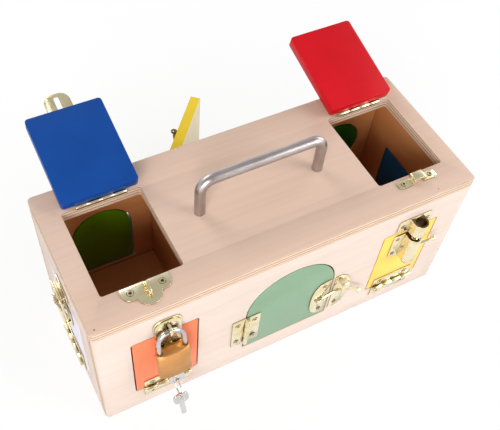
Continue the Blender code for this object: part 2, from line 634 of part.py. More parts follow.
def barrel_bolt(name, size, door, u, v, turn):
    """A bolt in its barrel on the door, drawn with +v towards the keeper, then turned."""
    half, out = size.plate_width / 2, bolt_height(size)
    inner = size.rod + size.play
    low, high = -size.plate_end, -size.plate_start
    barrel = prism(rounded(-half, half, low, high, size.corner), SEAT, SEAT + size.plate)
    join(barrel, bridge(size, inner, low, high))
    cut(barrel, prism(circle(0, out, inner, 14), low - OVERRUN, high + OVERRUN, ALONG_V))
    slot = size.stem + 2 * size.play
    slot_low, slot_high = -size.stem_place - slot, size.travel - size.stem_place + slot
    reach = inner + size.wall + OVERRUN
    if size.stem_sideways:
        space = prism(rectangle(slot_low, slot_high, out - slot, out + slot), 0, reach, ALONG_U)
    else:
        space = prism(rectangle(-slot, slot, slot_low, slot_high), out, out + reach)
    cut(barrel, space)
    door.carry(moved(barrel, u, v, turn=turn), name + "_barrel", BRASS)

    bolt = prism(circle(0, out, size.rod, 14), low - size.tail, high - 2 * SEAT, ALONG_V,
                 ease_high=size.nose, ease_low=size.nose / 2)
    end = Vector((size.stem_length, 0, 0)) if size.stem_sideways else Vector((0, 0, size.stem_length))
    root = Vector((0, -size.stem_place, out))
    join(bolt, rod((root, root + end), size.stem), ball(root + end, size.knob))
    slide = spindle(name + "_slide", door, *(moved_place(u, v, turn, 0, -size.stem_place)), out)
    slide.carry(moved(bolt, u, v, turn=turn), name, BRASS)


def round_keeper(size, low, high):
    """A plate with a round bridge like the barrel's own."""
    half, inner = size.plate_width / 2, size.rod + size.play
    keeper = prism(rounded(-half, half, low, high, size.corner), SEAT, SEAT + size.plate)
    join(keeper, bridge(size, inner, low, high))
    return cut(keeper, prism(circle(0, bolt_height(size), inner, 14), low - OVERRUN, high + OVERRUN, ALONG_V))


def moved_place(u, v, turn, across, along):
    """Where a point of a turned piece lies on the face."""
    place = Matrix.Rotation(radians(turn), 4, "Z") @ Vector((across, along, 0))
    return u + place.x, v + place.y


def make_orange_door(front):
    """The orange door, hinged at its foot, with a hasp and the padlock that holds it shut."""
    low_u, high_u, low_v, high_v = ORANGE_DOOR
    middle, gap = (low_u + high_u) / 2, swing_gap(high_v - low_v)
    door = pivot("orange_door_axis", front, middle, low_v - gap / 2, AXIS_HEIGHT)
    door.carry(box_door(*ORANGE_DOOR), "orange_door", ORANGE)
    door_hinge("orange_door", front, door, middle, low_v - gap / 2, 0)
    middle += ORANGE_HASP_ASIDE
    hasp("orange", door, middle, high_v, 0)
    half = ORANGE_STAPLE.width / 2
    plate = rounded(-half, half, ORANGE_STAPLE.near, ORANGE_STAPLE.far, ORANGE_STAPLE.radius)
    front.carry(moved(staple(plate), middle, high_v), "orange_hasp_staple", BRASS)
    make_padlock(front, middle, high_v + HASP.eye_reach, high_v - HASP.axis_inset)


def make_padlock(front, u, eye_v, knuckle_v):
    """The padlock hangs from the eye and leans out over the hasp's knuckles."""
    arch_v = eye_v - HASP.eye_half_gap + PADLOCK.rod + SEAT
    arch_n = arch_height()
    half_spacing = PADLOCK.leg_spacing / 2
    drop, back = arch_v - knuckle_v, arch_n - AXIS_HEIGHT
    reach = PADLOCK.depth / 2 + HINGE.curl + SEAT
    lean = (asin(reach / hypot(drop, back)) - atan2(back, drop)) * 180 / pi
    hung = pivot("padlock_axis", front, u, arch_v, arch_n, 180, lean)

    body_top = arch_v - PADLOCK.rod - PADLOCK.opening
    heel_end, toe_end = body_top - PADLOCK.heel, body_top - PADLOCK.toe
    corners = ((u - half_spacing, heel_end, arch_n), (u - half_spacing, arch_v, arch_n),
               (u + half_spacing, arch_v, arch_n), (u + half_spacing, toe_end, arch_n))
    hung.carry(rod(filleted(corners, half_spacing, 7), PADLOCK.rod, 12), "padlock_shackle", CHROME)

    plan = oval(PADLOCK.width / 2, PADLOCK.depth / 2, PADLOCK.fullness, 0, 360, 28)[:-1]
    plan = [(u + a, arch_n + b) for a, b in plan]
    low = body_top - PADLOCK.height
    body = prism(plan, low, body_top, ALONG_V, ease_high=PADLOCK.ease, ease_low=PADLOCK.ease)
    bore = PADLOCK.rod + RUNNING
    for side, end in ((-half_spacing, heel_end), (half_spacing, toe_end)):
        well = prism(circle(u + side, arch_n, bore, 12), end - RUNNING - PADLOCK.well_play,
                     body_top + OVERRUN, ALONG_V)
        cut(body, well)
    plug_top = low + PADLOCK.plug_length
    cut(body, prism(circle(u, arch_n, PADLOCK.plug + RUNNING, 14), low - OVERRUN, plug_top + RUNNING,
                    ALONG_V))
    released = Carrier("padlock_release", hung.empty, hung.place, Matrix.Identity(4))
    released.carry(body, "padlock_body", LOCK_BRASS)
    make_keys(released, u, low, arch_n, plug_top)


def key_bow(u, top_v, n):
    """The flat bow of a key, below its neck, with the hole that the ring goes through."""
    half = KEY.bow_width / 2
    outline = rounded(u - half, u + half, top_v - KEY.bow_height, top_v, KEY.bow_corner)
    return prism(outline, n - KEY.depth / 2, n + KEY.depth / 2)


def make_keys(lock, u, low, n, plug_top):
    """The key in the lock with the plug that it turns, the ring in its bow and a spare key."""
    plug = prism(circle(u, n, PADLOCK.plug, 14), low + SEAT, plug_top, ALONG_V)
    half = KEY.shank / 2
    neck = prism(rectangle(u - half, u + half, low - 2 * KEY.neck, low + KEY.neck),
                 n - KEY.depth / 2, n + KEY.depth / 2)
    bow = key_bow(u, low - KEY.neck, n)
    join(bow, neck, plug)
    hole_v = low - KEY.neck - KEY.bow_height + KEY.hole_inset
    cut(bow, prism(circle(u, hole_v, KEY.hole), n - OVERRUN, n + OVERRUN))
    turned = pivot("key_axis", lock, u, low, n, 90)
    turned.carry(bow, "padlock_key", NICKEL)

    top_v = hole_v - KEY.hole + RING.wire + 2 * SEAT
    ring_v = top_v - RING.radius
    hoop = [(u, v, m) for v, m in circle(ring_v, n, RING.radius, 24)]
    hung = pivot("ring_axis", turned, u, top_v, n, 180, RING.lean)
    hung.carry(rod(hoop, RING.wire, 8, closed=True), "key_ring", NICKEL)

    wire_v = ring_v - RING.radius
    spare_hole = wire_v - KEY.hole + RING.wire + 2 * SEAT
    bow_top = spare_hole + KEY.hole_inset
    spare = key_bow(u, bow_top, n)
    bow_low = bow_top - KEY.bow_height
    join(spare, prism(blade_outline(u, bow_low), n - KEY.depth / 2, n + KEY.depth / 2))
    cut(spare, prism(circle(u, spare_hole, KEY.hole), n - OVERRUN, n + OVERRUN))
    swung = pivot("spare_key_axis", hung, u, wire_v, n, 180)
    swung.carry(spare, "spare_key", NICKEL)


def blade_outline(u, top_v):
    """The spare key's blade: straight on one side, with cuts of unlike depth on the other."""
    half, length = KEY.shank / 2, KEY.blade
    outline = [(u - half, top_v + KEY.neck), (u - half, top_v - length + KEY.tip), (u, top_v - length),
               (u + half, top_v - length + KEY.tip)]
    for place_share, depth_share in ((0.80, 0.6), (0.62, 1.0), (0.44, 0.5), (0.26, 0.8)):
        middle, step = top_v - length * place_share, length * 0.05
        outline += [(u + half, middle - step), (u + half - KEY.notch * depth_share, middle),
                    (u + half, middle + step)]
    return outline + [(u + half, top_v + KEY.neck)]


def make_green_door(front):
    """The round-headed green door, hinged on its left, with the swing catch on its right."""
    low_u, high_u, low_v, high_v = GREEN_DOOR
    gap = swing_gap(high_u - low_u)
    hinge_v = low_v + gap + HINGE.length * 3 / 4
    door = pivot("green_door_axis", front, low_u - gap / 2, hinge_v, AXIS_HEIGHT, -90)
    door.carry(prism(arch_outline(*GREEN_DOOR[:3], 0, high_v), -PLY, 0), "green_door", GREEN)
    door_hinge("green_door", front, door, low_u - gap / 2, hinge_v, -90)

    top = SEAT + CATCH.plate
    plan = oval(CATCH.width, CATCH.half_height, CATCH.fullness, 90, 270, 14)
    plate_u, pivot_u = high_u - CATCH.inset, high_u - CATCH.inset - CATCH.pivot_inset
    plate = prism([(plate_u + a, CATCH.v + b) for a, b in plan], SEAT, top)
    hub_low = top + SEAT
    hub_high = hub_low + CATCH.hub_depth
    post = prism(circle(pivot_u, CATCH.v, CATCH.post), SEAT, hub_high + SEAT + CATCH.head_depth / 2)
    head = prism(circle(pivot_u, CATCH.v, CATCH.head, 12), hub_high + SEAT,
                 hub_high + SEAT + CATCH.head_depth, ease_high=CATCH.head_depth / 2)
    door.carry(join(plate, post, head), "green_catch_plate", BRASS)

    hub = prism(circle(pivot_u, CATCH.v, CATCH.hub, 14), hub_low, hub_high)
    knots = [(pivot_u + a, CATCH.v + b, n) for a, b, n in CATCH_ARM]
    join(hub, rod(through(knots, 4), CATCH.arm, 8), ball(knots[-1], CATCH.ball))
    cap = hub_high + SEAT + CATCH.head_depth
    cut(hub, prism(circle(pivot_u, CATCH.v, CATCH.post + RUNNING), 0, cap + OVERRUN),
        prism(circle(pivot_u, CATCH.v, CATCH.head + RUNNING, 12), hub_high, cap + OVERRUN))
    swing = spindle("green_catch_axis", door, pivot_u, CATCH.v, hub_low)
    swing.carry(hub, "green_catch_arm", BRASS)

    keeper_u = high_u + gap + CATCH.inset
    keeper = prism([(keeper_u - a, CATCH.v + b) for a, b in plan], SEAT, top)
    lug_u = keeper_u + CATCH.lug_inset
    arm_top = CATCH.v + max(b for a, b, n in CATCH_ARM) + CATCH.arm
    lug_low = arm_top + CATCH.rest_gap
    arm_out = max(n for a, b, n in CATCH_ARM) + CATCH.arm + SEAT
    lug_high, out = lug_low + CATCH.lug_drop + CATCH.lug, arm_out + CATCH.lug
    hook = [(lug_high - CATCH.lug, SEAT), (lug_high, SEAT), (lug_high, out - 2 * CATCH.lug)]
    hook += arc(lug_high - 2 * CATCH.lug, out - 2 * CATCH.lug, 2 * CATCH.lug, 0, 90, 4)
    hook += [(lug_low, out), (lug_low, arm_out)]
    hook += arc(lug_high - 2 * CATCH.lug, out - 2 * CATCH.lug, CATCH.lug, 90, 0, 3)
    lug = moved(prism(hook, -CATCH.lug_width / 2, CATCH.lug_width / 2, ALONG_U), lug_u)
    front.carry(join(keeper, lug), "green_catch_keeper", BRASS)


def make_yellow_door(front):
    """The yellow door, hinged at its foot, with a thick barrel bolt that shoots upwards."""
    low_u, high_u, low_v, high_v = YELLOW_DOOR
    middle, gap = (low_u + high_u) / 2, swing_gap(high_v - low_v)
    door = pivot("yellow_door_axis", front, middle, low_v - gap / 2, AXIS_HEIGHT)
    door.carry(box_door(*YELLOW_DOOR), "yellow_door", YELLOW)
    door_hinge("yellow_door", front, door, middle, low_v - gap / 2, 0)
    barrel_bolt("yellow_bolt", YELLOW_BOLT, door, middle, high_v, 0)
    start = high_v + gap + YELLOW_BOLT.keeper_start
    keeper = round_keeper(YELLOW_BOLT, start, start + YELLOW_BOLT.keeper_length)
    front.carry(moved(keeper, middle), "yellow_bolt_keeper", BRASS)


def make_lilac_door(left_end):
    """The lilac door of the left end, hinged at its foot, with a draw latch."""
    low_u, high_u, low_v, high_v = LILAC_DOOR
    middle, gap = (low_u + high_u) / 2, swing_gap(high_v - low_v)
    door = pivot("lilac_door_axis", left_end, middle, low_v - gap / 2, AXIS_HEIGHT)
    door.carry(box_door(*LILAC_DOOR), "lilac_door", LILAC)
    door_hinge("lilac_door", left_end, door, middle, low_v - gap / 2, 0)
    make_draw_latch(left_end, door, middle, high_v, gap)


def make_draw_latch(on, door, u, edge_v, gap):
    """Base with two ears, a channel lever on a cross pin, a wire bail and a keeper with a lip."""
    half, top = LATCH.width / 2, SEAT + LATCH.plate
    low = edge_v - LATCH.base_low
    pin_v, pin_n = edge_v - LATCH.pin_v, LATCH.pin_n
    ear_in = LATCH.cheek_half + RUNNING
    base = prism(rounded(-half, half, low, low + LATCH.base_height, LATCH.radius), SEAT, top)
    ear = [(pin_v + LATCH.ear_half, SEAT)]
    ear += arc(pin_v, LATCH.ear_out - LATCH.ear_half, LATCH.ear_half, 0, 180, 6)
    ear += [(pin_v - LATCH.ear_half, SEAT)]
    for side in (-ear_in - LATCH.ear, ear_in):
        join(base, prism(ear, side, side + LATCH.ear, ALONG_U))
    cut(base, prism(circle(pin_v, pin_n, LATCH.pin + RUNNING / 2), -half - OVERRUN, half + OVERRUN, ALONG_U))
    door.carry(moved(base, u), "draw_latch_base", BRASS)

    turned = pivot("draw_latch_axis", door, u, pin_v, pin_n)
    bail_v, bail_n = edge_v - LATCH.bail_v, LATCH.bail_n
    round_end = pin_n - top - 2 * SEAT
    end_v = pin_v + LATCH.lever_length
    side_view = [(pin_v, LATCH.lever_out)] + arc(pin_v, pin_n, round_end, 90, 270, 6)
    side_view += [(bail_v + 2 * LATCH.wire, pin_n - round_end), (end_v, LATCH.lever_out - 2 * LATCH.cheek),
                  (end_v, LATCH.lever_out)]
    lever = prism(side_view, -LATCH.cheek_half, LATCH.cheek_half, ALONG_U)
    inside = LATCH.cheek_half - LATCH.cheek
    cut(lever, prism(rectangle(-inside, inside, pin_v - OVERRUN, end_v + OVERRUN), 0,
                     LATCH.lever_out - LATCH.cheek))
    tab_low = LATCH.lever_out - LATCH.cheek
    tab = [(end_v - LATCH.cheek, tab_low), (end_v + LATCH.tab_length, tab_low + LATCH.tab_rise),
           (end_v + LATCH.tab_length, LATCH.lever_out + LATCH.tab_rise), (end_v - LATCH.cheek, LATCH.lever_out)]
    tab_v = rounded(-LATCH.tab_half, LATCH.tab_half, pin_v, end_v + LATCH.tab_length, LATCH.tab_half * 0.6)
    tongue = combine(prism(tab, -LATCH.tab_half, LATCH.tab_half, ALONG_U),
                     prism(tab_v, 0, OVERRUN * 2), "INTERSECT")
    cross_pin = prism(circle(pin_v, pin_n, LATCH.pin, 8), -ear_in - LATCH.ear - SEAT,
                      ear_in + LATCH.ear + SEAT, ALONG_U)
    join(lever, tongue, cross_pin)
    cut(lever, prism(circle(bail_v, bail_n, LATCH.wire + RUNNING), -half - OVERRUN, half + OVERRUN, ALONG_U))
    turned.carry(moved(lever, u), "draw_latch_lever", BRASS)

    lip_v = edge_v + gap + LATCH.keeper_start + LATCH.lip_start
    over_v = lip_v + LATCH.bail_over
    rise, out = over_v - bail_v, LATCH.lip_out + SEAT + LATCH.wire - bail_n
    length, tilt = hypot(rise, out), atan2(out, rise) * 180 / pi
    inner_end = inside - LATCH.wire
    route = filleted(((-inner_end, bail_v, bail_n), (-LATCH.bail_half, bail_v, bail_n),
                      (-LATCH.bail_half, bail_v + length, bail_n), (LATCH.bail_half, bail_v + length, bail_n),
                      (LATCH.bail_half, bail_v, bail_n), (inner_end, bail_v, bail_n)), LATCH.wire * 1.1, 3)
    hung = pivot("bail_axis", turned, u, bail_v, bail_n, 0, tilt)
    hung.carry(moved(rod(route, LATCH.wire, 8), u), "draw_latch_bail", BRASS)

    start = edge_v + gap + LATCH.keeper_start
    keeper = prism(rounded(-half, half, start, start + LATCH.keeper_height, LATCH.radius), SEAT, top)
    inner_n = LATCH.lip_out - LATCH.lip
    lip = [(lip_v, SEAT), (lip_v, inner_n), (lip_v + LATCH.lip, LATCH.lip_out),
           (lip_v + LATCH.lip_height, LATCH.lip_out), (lip_v + LATCH.lip_height, inner_n),
           (lip_v + 1.5 * LATCH.lip, inner_n), (lip_v + LATCH.lip, inner_n - LATCH.lip / 2),
           (lip_v + LATCH.lip, SEAT)]
    join(keeper, prism(lip, -LATCH.lip_half, LATCH.lip_half, ALONG_U))
    on.carry(moved(keeper, u), "draw_latch_keeper", BRASS)


def make_rear_door(back, panel):
    """The wide yellow door behind the middle, standing open, with a gate hook on its outer face."""
    low_u, high_u, low_v, high_v = REAR_DOOR
    gap = swing_gap(high_u - low_u)
    axis_u, middle = high_u + gap / 2, (low_v + high_v) / 2
    door = pivot("rear_door_axis", back, axis_u, middle, AXIS_HEIGHT, 90, REAR_DOOR_REST)
    leaf = box_door(*REAR_DOOR)
    leaf.data.materials.append(REAR_YELLOW)
    fixed, moving = let_in_hinge(HINGE.length, axis_u, middle, 90)
    join(panel, fixed)
    door.carry(join(leaf, moving), "rear_yellow_door", REAR_YELLOW)

    hook_u, eye_n = axis_u - HOOK.from_hinge, SEAT + HOOK.shank + HOOK.eye
    eye = rod([(hook_u, v, n) for v, n in circle(HOOK.v, eye_n, HOOK.eye, 14)], HOOK.wire, 8, closed=True)
    join(eye, prism(circle(hook_u, HOOK.v, HOOK.wire * 1.1), SEAT, eye_n - HOOK.eye))
    door.carry(eye, "gate_hook_eye", DARK_BRASS)

    link_v = HOOK.v - HOOK.eye
    ring_v = link_v - HOOK.eye + 2 * HOOK.wire + SEAT
    ring = rod([(u, v, eye_n) for u, v in circle(hook_u, ring_v, HOOK.eye, 14)], HOOK.wire, 8, closed=True)
    start, end = ring_v - HOOK.eye, ring_v - HOOK.length
    route = filleted(((hook_u, start, eye_n), (hook_u, end, eye_n), (hook_u, end, SEAT + HOOK.rod + SEAT)),
                     HOOK.bend, 5)
    join(ring, rod(route, HOOK.rod, 8))
    swing = spindle("gate_hook_axis", door, hook_u, link_v, eye_n)
    swing.carry(ring, "gate_hook", DARK_BRASS)


def turn_button(name, on, u, v):
    """A turn button on its own spindle, with its length along v when it is clear of the door."""
    half, width = BUTTON.length / 2, BUTTON.width / 2
    bar = prism(rounded(-width, width, -half, half, width, 5), SEAT, SEAT + BUTTON.depth,
                ease_high=BUTTON.ease)
    cut(bar, prism(circle(0, 0, BUTTON.hole), -OVERRUN, OVERRUN))
    spin = spindle(name + "_axis", on, u, v, SEAT)
    spin.carry(moved(bar, u, v), name, BRASS)


def make_small_door(name, on, panel, leaf, axis_u, middle_v, side, edge_u, button_v, colour):
    """A small door hinged on one side with a let-in hinge, and a turn button at the other side."""
    turn = 90 if side > 0 else -90
    door = pivot(name + "_axis", on, axis_u, middle_v, AXIS_HEIGHT, turn)
    leaf.data.materials.append(colour)
    fixed, moving = let_in_hinge(HINGE.short_length, axis_u, middle_v, turn)
    join(panel, fixed)
    door.carry(join(leaf, moving), name, colour)
    turn_button(name.replace("_door", "") + "_turn_button", on, edge_u - side * BUTTON.from_door, button_v)


def make_rear_doors(back, panel):
    """The three doors of the back, which share the panel that their fixed hinge leaves join."""
    make_rear_door(back, panel)
    low_u, high_u, low_v, high_v = ARCH_DOOR
    gap = swing_gap(high_u - low_u)
    hinge_v = low_v + gap + HINGE.short_length
    leaf = prism(arch_outline(*ARCH_DOOR[:3], 0, high_v), -PLY, 0)
    make_small_door("rear_arch_door", back, panel, leaf, high_u + gap / 2, hinge_v, 1, low_u - gap,
                    low_v + ARCH_BUTTON_RISE, DARK_GREEN)

    gap = swing_gap(2 * ROUND_DOOR.radius)
    middle, reach = round_door_u(), ROUND_DOOR.radius + gap
    leaf = prism(circle(middle, ROUND_DOOR.v, ROUND_DOOR.radius, 32), -PLY, 0)
    make_small_door("rear_round_door", back, panel, leaf, middle - reach + gap / 2, ROUND_DOOR.v, -1,
                    middle + reach, ROUND_DOOR.v, DARK_GREEN)
    back.carry(panel, "back_panel", WOOD)


def make_right_end_door(right_end, panel):
    """The square door of the right end."""
    low_u, high_u, low_v, high_v = RIGHT_END_DOOR
    gap = swing_gap(high_u - low_u)
    middle_v = (low_v + high_v) / 2
    make_small_door("right_end_door", right_end, panel, box_door(*RIGHT_END_DOOR), high_u + gap / 2,
                    middle_v, 1, low_u - gap, middle_v, DARK_BLUE)
    right_end.carry(panel, "right_end_panel", WOOD)


clear_scene()
front = face("front_face", (0, -PLY / 2, 0), 90, 0)
back = face("back_face", (0, BOX_DEPTH - PLY / 2, 0), 90, 180)
left_end = face("left_end_face", (-BOX_LENGTH / 2, MIDDLE_Y, 0), 90, -90)
right_end = face("right_end_face", (BOX_LENGTH / 2, MIDDLE_Y, 0), 90, 90)
top = face("top_face", (0, MIDDLE_Y, BOX_HEIGHT), 0, 0)

rear_panel, right_panel = make_panels(front, left_end, top)
make_handle(top)
make_blue_lid(top)
make_red_lid(top)
make_orange_door(front)
make_green_door(front)
make_yellow_door(front)
make_lilac_door(left_end)
make_rear_doors(back, rear_panel)
make_right_end_door(right_end, right_panel)
bpy.context.view_layer.update()
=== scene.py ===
import json
from math import cos, pi, radians, sin

import bmesh
import bpy
from mathutils import Matrix, Vector

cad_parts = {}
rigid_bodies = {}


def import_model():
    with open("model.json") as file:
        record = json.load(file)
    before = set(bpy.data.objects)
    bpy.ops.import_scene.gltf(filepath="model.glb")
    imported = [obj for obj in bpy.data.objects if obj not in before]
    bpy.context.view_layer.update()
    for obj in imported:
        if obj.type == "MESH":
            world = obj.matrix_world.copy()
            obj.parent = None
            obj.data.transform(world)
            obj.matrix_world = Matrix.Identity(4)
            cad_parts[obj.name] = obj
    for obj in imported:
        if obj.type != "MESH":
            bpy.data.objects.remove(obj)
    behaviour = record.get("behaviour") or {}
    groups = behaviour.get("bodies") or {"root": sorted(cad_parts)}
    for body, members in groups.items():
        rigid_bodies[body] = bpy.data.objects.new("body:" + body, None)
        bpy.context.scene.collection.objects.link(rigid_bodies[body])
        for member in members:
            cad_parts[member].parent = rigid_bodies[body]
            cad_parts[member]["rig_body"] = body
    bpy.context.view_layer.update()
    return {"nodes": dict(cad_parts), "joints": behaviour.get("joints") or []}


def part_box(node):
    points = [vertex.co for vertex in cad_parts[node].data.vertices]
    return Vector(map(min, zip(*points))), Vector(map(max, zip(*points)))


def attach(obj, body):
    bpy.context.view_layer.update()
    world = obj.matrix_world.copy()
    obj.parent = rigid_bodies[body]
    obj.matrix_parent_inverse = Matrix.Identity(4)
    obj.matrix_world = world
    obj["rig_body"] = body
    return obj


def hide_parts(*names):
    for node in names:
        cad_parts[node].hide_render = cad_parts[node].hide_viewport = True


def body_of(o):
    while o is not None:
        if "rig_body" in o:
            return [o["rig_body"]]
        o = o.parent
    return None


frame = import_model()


# Studio. The camera stands where the photograph was taken from, high in front of the box and to its
# left. The box stands on white paper. Two soft boxes light it from the front, one from its right and one
# from behind, and the room is pale with a dark band that only the metal shows.
camera_data = bpy.data.cameras.new("camera")
camera_data.lens = 53.05
camera_data.shift_x, camera_data.shift_y = 0.02545, 0.0471
camera = bpy.data.objects.new("camera", camera_data)
camera_right = Vector((0.88473, -0.46218, 0.06030))
camera_up = Vector((0.34907, 0.74275, 0.57137))
camera_place = (-0.2536, -0.2943, 0.7272)
camera.matrix_world = Matrix.Translation(camera_place) @ Matrix(
    (camera_right, camera_up, camera_right.cross(camera_up))).transposed().to_4x4()
bpy.context.scene.collection.objects.link(camera)
bpy.context.scene.camera = camera
bpy.context.scene.view_settings.view_transform = "Standard"
box_middle = Vector((0, 0.0745, 0.1))


def soft_box(name, place, width, power):
    """A square lamp that looks at the middle of the box."""
    data = bpy.data.lights.new(name, "AREA")
    data.size, data.energy = width, power
    lamp = bpy.data.objects.new(name, data)
    lamp.location = place
    lamp.rotation_euler = (box_middle - Vector(place)).to_track_quat("-Z", "Y").to_euler()
    bpy.context.scene.collection.objects.link(lamp)


soft_box("front_left_lamp", (-1.9, -2.2, 1.4), 1.6, 84)
soft_box("front_right_lamp", (2.2, -1.7255, 1.6), 1.8, 60)
soft_box("right_lamp", (2.4, 0.6, 0.8), 1.4, 16)
soft_box("rear_lamp", (-0.8, 2.2745, 1.8), 1.4, 24)


def new_finish(name):
    """A material, its Principled shader, and a call that adds a node and fills or links its sockets."""
    material = bpy.data.materials.new(name)
    material.use_nodes = True
    tree = material.node_tree

    def put(kind, sockets=None, **settings):
        node = tree.nodes.new("ShaderNode" + kind)
        for key, value in settings.items():
            setattr(node, key, value)
        for key, value in (sockets or {}).items():
            if isinstance(value, bpy.types.NodeSocket):
                tree.links.new(value, node.inputs[key])
            else:
                node.inputs[key].default_value = value
        return node

    return material, tree.nodes["Principled BSDF"], put


def shown_or_mirrored(tree):
    """1 for what the camera sees, straight or in metal and glass, and 0 for what only sheds light."""
    rays = tree.nodes.new("ShaderNodeLightPath")
    share = rays.outputs["Is Camera Ray"]
    for kind in ("Is Glossy Ray", "Is Transmission Ray"):
        both = tree.nodes.new("ShaderNodeMath")
        both.operation = "MAXIMUM"
        tree.links.new(share, both.inputs[0])
        tree.links.new(rays.outputs[kind], both.inputs[1])
        share = both.outputs[0]
    return share


floor_finish, floor_shader, put = new_finish("white_floor")
floor_shader.inputs["Base Color"].default_value = (0.93, 0.93, 0.93, 1)
floor_shader.inputs["Roughness"].default_value = 0.7
floor_tree = floor_finish.node_tree
away = put("VectorMath", {0: put("TexCoord").outputs["Object"]}, operation="LENGTH")
whiter = put("MapRange", {"Value": away.outputs["Value"], "From Min": 0.3, "From Max": 1.0, "To Min": 0.80})
share = put("Math", {0: shown_or_mirrored(floor_tree), 1: whiter.outputs[0]}, operation="MULTIPLY")
paper = put("Emission", {"Color": (1, 1, 1, 1), "Strength": 1.0})
mixed = put("MixShader", {0: share.outputs[0], 1: floor_shader.outputs[0], 2: paper.outputs[0]})
floor_tree.links.new(mixed.outputs[0], floor_tree.nodes["Material Output"].inputs["Surface"])
floor_mesh = bpy.data.meshes.new("floor")
floor_reach, floor_gap = 12.0, 0.0005
floor_mesh.from_pydata([(-floor_reach, -floor_reach, 0), (floor_reach, -floor_reach, 0),
                        (floor_reach, floor_reach, 0), (-floor_reach, floor_reach, 0)], [], [(0, 1, 2, 3)])
floor_mesh.materials.append(floor_finish)
floor = bpy.data.objects.new("floor", floor_mesh)
floor.location.z = -floor_gap
bpy.context.scene.collection.objects.link(floor)

world = bpy.data.worlds.new("room")
bpy.context.scene.world = world
world.use_nodes = True
room = world.node_tree
direction = room.nodes.new("ShaderNodeTexCoord")
height = room.nodes.new("ShaderNodeSeparateXYZ")
room.links.new(direction.outputs["Generated"], height.inputs[0])


def room_light(strength, *stops):
    """A background whose grey changes with how high it lies."""
    ramp = room.nodes.new("ShaderNodeValToRGB")
    room.links.new(height.outputs["Z"], ramp.inputs[0])
    while len(ramp.color_ramp.elements) < len(stops):
        ramp.color_ramp.elements.new(1.0)
    for element, (place, grey) in zip(ramp.color_ramp.elements, stops):
        element.position, element.color = place, (grey, grey, grey, 1)
    light = room.nodes.new("ShaderNodeBackground")
    room.links.new(ramp.outputs[0], light.inputs["Color"])
    light.inputs["Strength"].default_value = strength
    return light.outputs[0]


def either_light(share, first, second):
    """One background where share is 0, and another where it is 1."""
    mix = room.nodes.new("ShaderNodeMixShader")
    for socket, value in enumerate((share, first, second)):
        room.links.new(value, mix.inputs[socket])
    return mix.outputs[0]


behind_camera = room_light(1.0, (0.0, 1.0), (0.26, 1.0), (0.34, 0.12), (0.55, 0.08), (0.70, 0.46),
                           (1.0, 0.50))
behind_box = room_light(1.0, (0.0, 1.0), (0.26, 1.0), (0.45, 0.95), (0.60, 0.60), (0.72, 0.46), (1.0, 0.50))
to_the_back, soft_edge = room.nodes.new("ShaderNodeMapRange"), 0.2
to_the_back.inputs["From Min"].default_value = -soft_edge
to_the_back.inputs["From Max"].default_value = soft_edge
room.links.new(height.outputs["Y"], to_the_back.inputs["Value"])
shown = either_light(to_the_back.outputs[0], behind_camera, behind_box)
lit = room_light(0.62, (0.0, 0.85), (0.22, 0.85), (0.34, 0.30), (0.55, 0.24), (0.72, 0.70), (1.0, 0.75))
room.links.new(either_light(shown_or_mirrored(room), lit, shown),
               room.nodes["World Output"].inputs["Surface"])


# Box. The walls, the top, the raised floor and the two partitions are 11 mm birch plywood, sanded and
# left with a thin satin lacquer. They are butted, glued and nailed, and the cut edges show the plies.
PLY, WALL_EASE, INNER_EASE = 0.011, 0.0004, 0.0003
# Each wood tone and its lighter shade: the top outside, the walls outside, and the inside. All are one ply:
# the walls are paler than the top, and the inside is darker and more orange than both, as painted light and
# shade for how much light falls on each.
SANDED_TOP = ((0.650, 0.462, 0.362), (0.695, 0.505, 0.402))
SANDED_WALL = ((0.615, 0.500, 0.432), (0.670, 0.556, 0.492))
SHADED_INSIDE = ((0.570, 0.238, 0.082), (0.690, 0.312, 0.112))


def shades(put, value, *stops):
    """A ramp of colours over a value, each stop given as its place and its colour."""
    ramp = put("ValToRGB", {0: value})
    while len(ramp.color_ramp.elements) < len(stops):
        ramp.color_ramp.elements.new(1.0)
    for element, (place, colour) in zip(ramp.color_ramp.elements, stops):
        element.position, element.color = place, (*colour, 1)
    return ramp.outputs[0]


def blended(put, share, first, second, way="MIX"):
    """The first colour where share is 0, and the second, or what it makes of the first, where it is 1."""
    colour_a, colour_b, result = 6, 7, 2
    node = put("Mix", {"Factor": share, colour_a: first, colour_b: second}, data_type="RGBA", blend_type=way)
    return node.outputs[result]


def painted_shade_in_gaps(put, tone, shade, reach=0.003, most=0.60):
    """A tone that gives way to a darker colour in gaps and corners, found by ambient occlusion: painted shade
    where little light gets in.
    """
    corners = put("AmbientOcclusion", {"Distance": reach})
    open_share = put("MapRange", {"Value": corners.outputs["AO"], "From Min": 0.15, "From Max": most})
    return blended(put, open_share.outputs[0], (*shade, 1), tone)


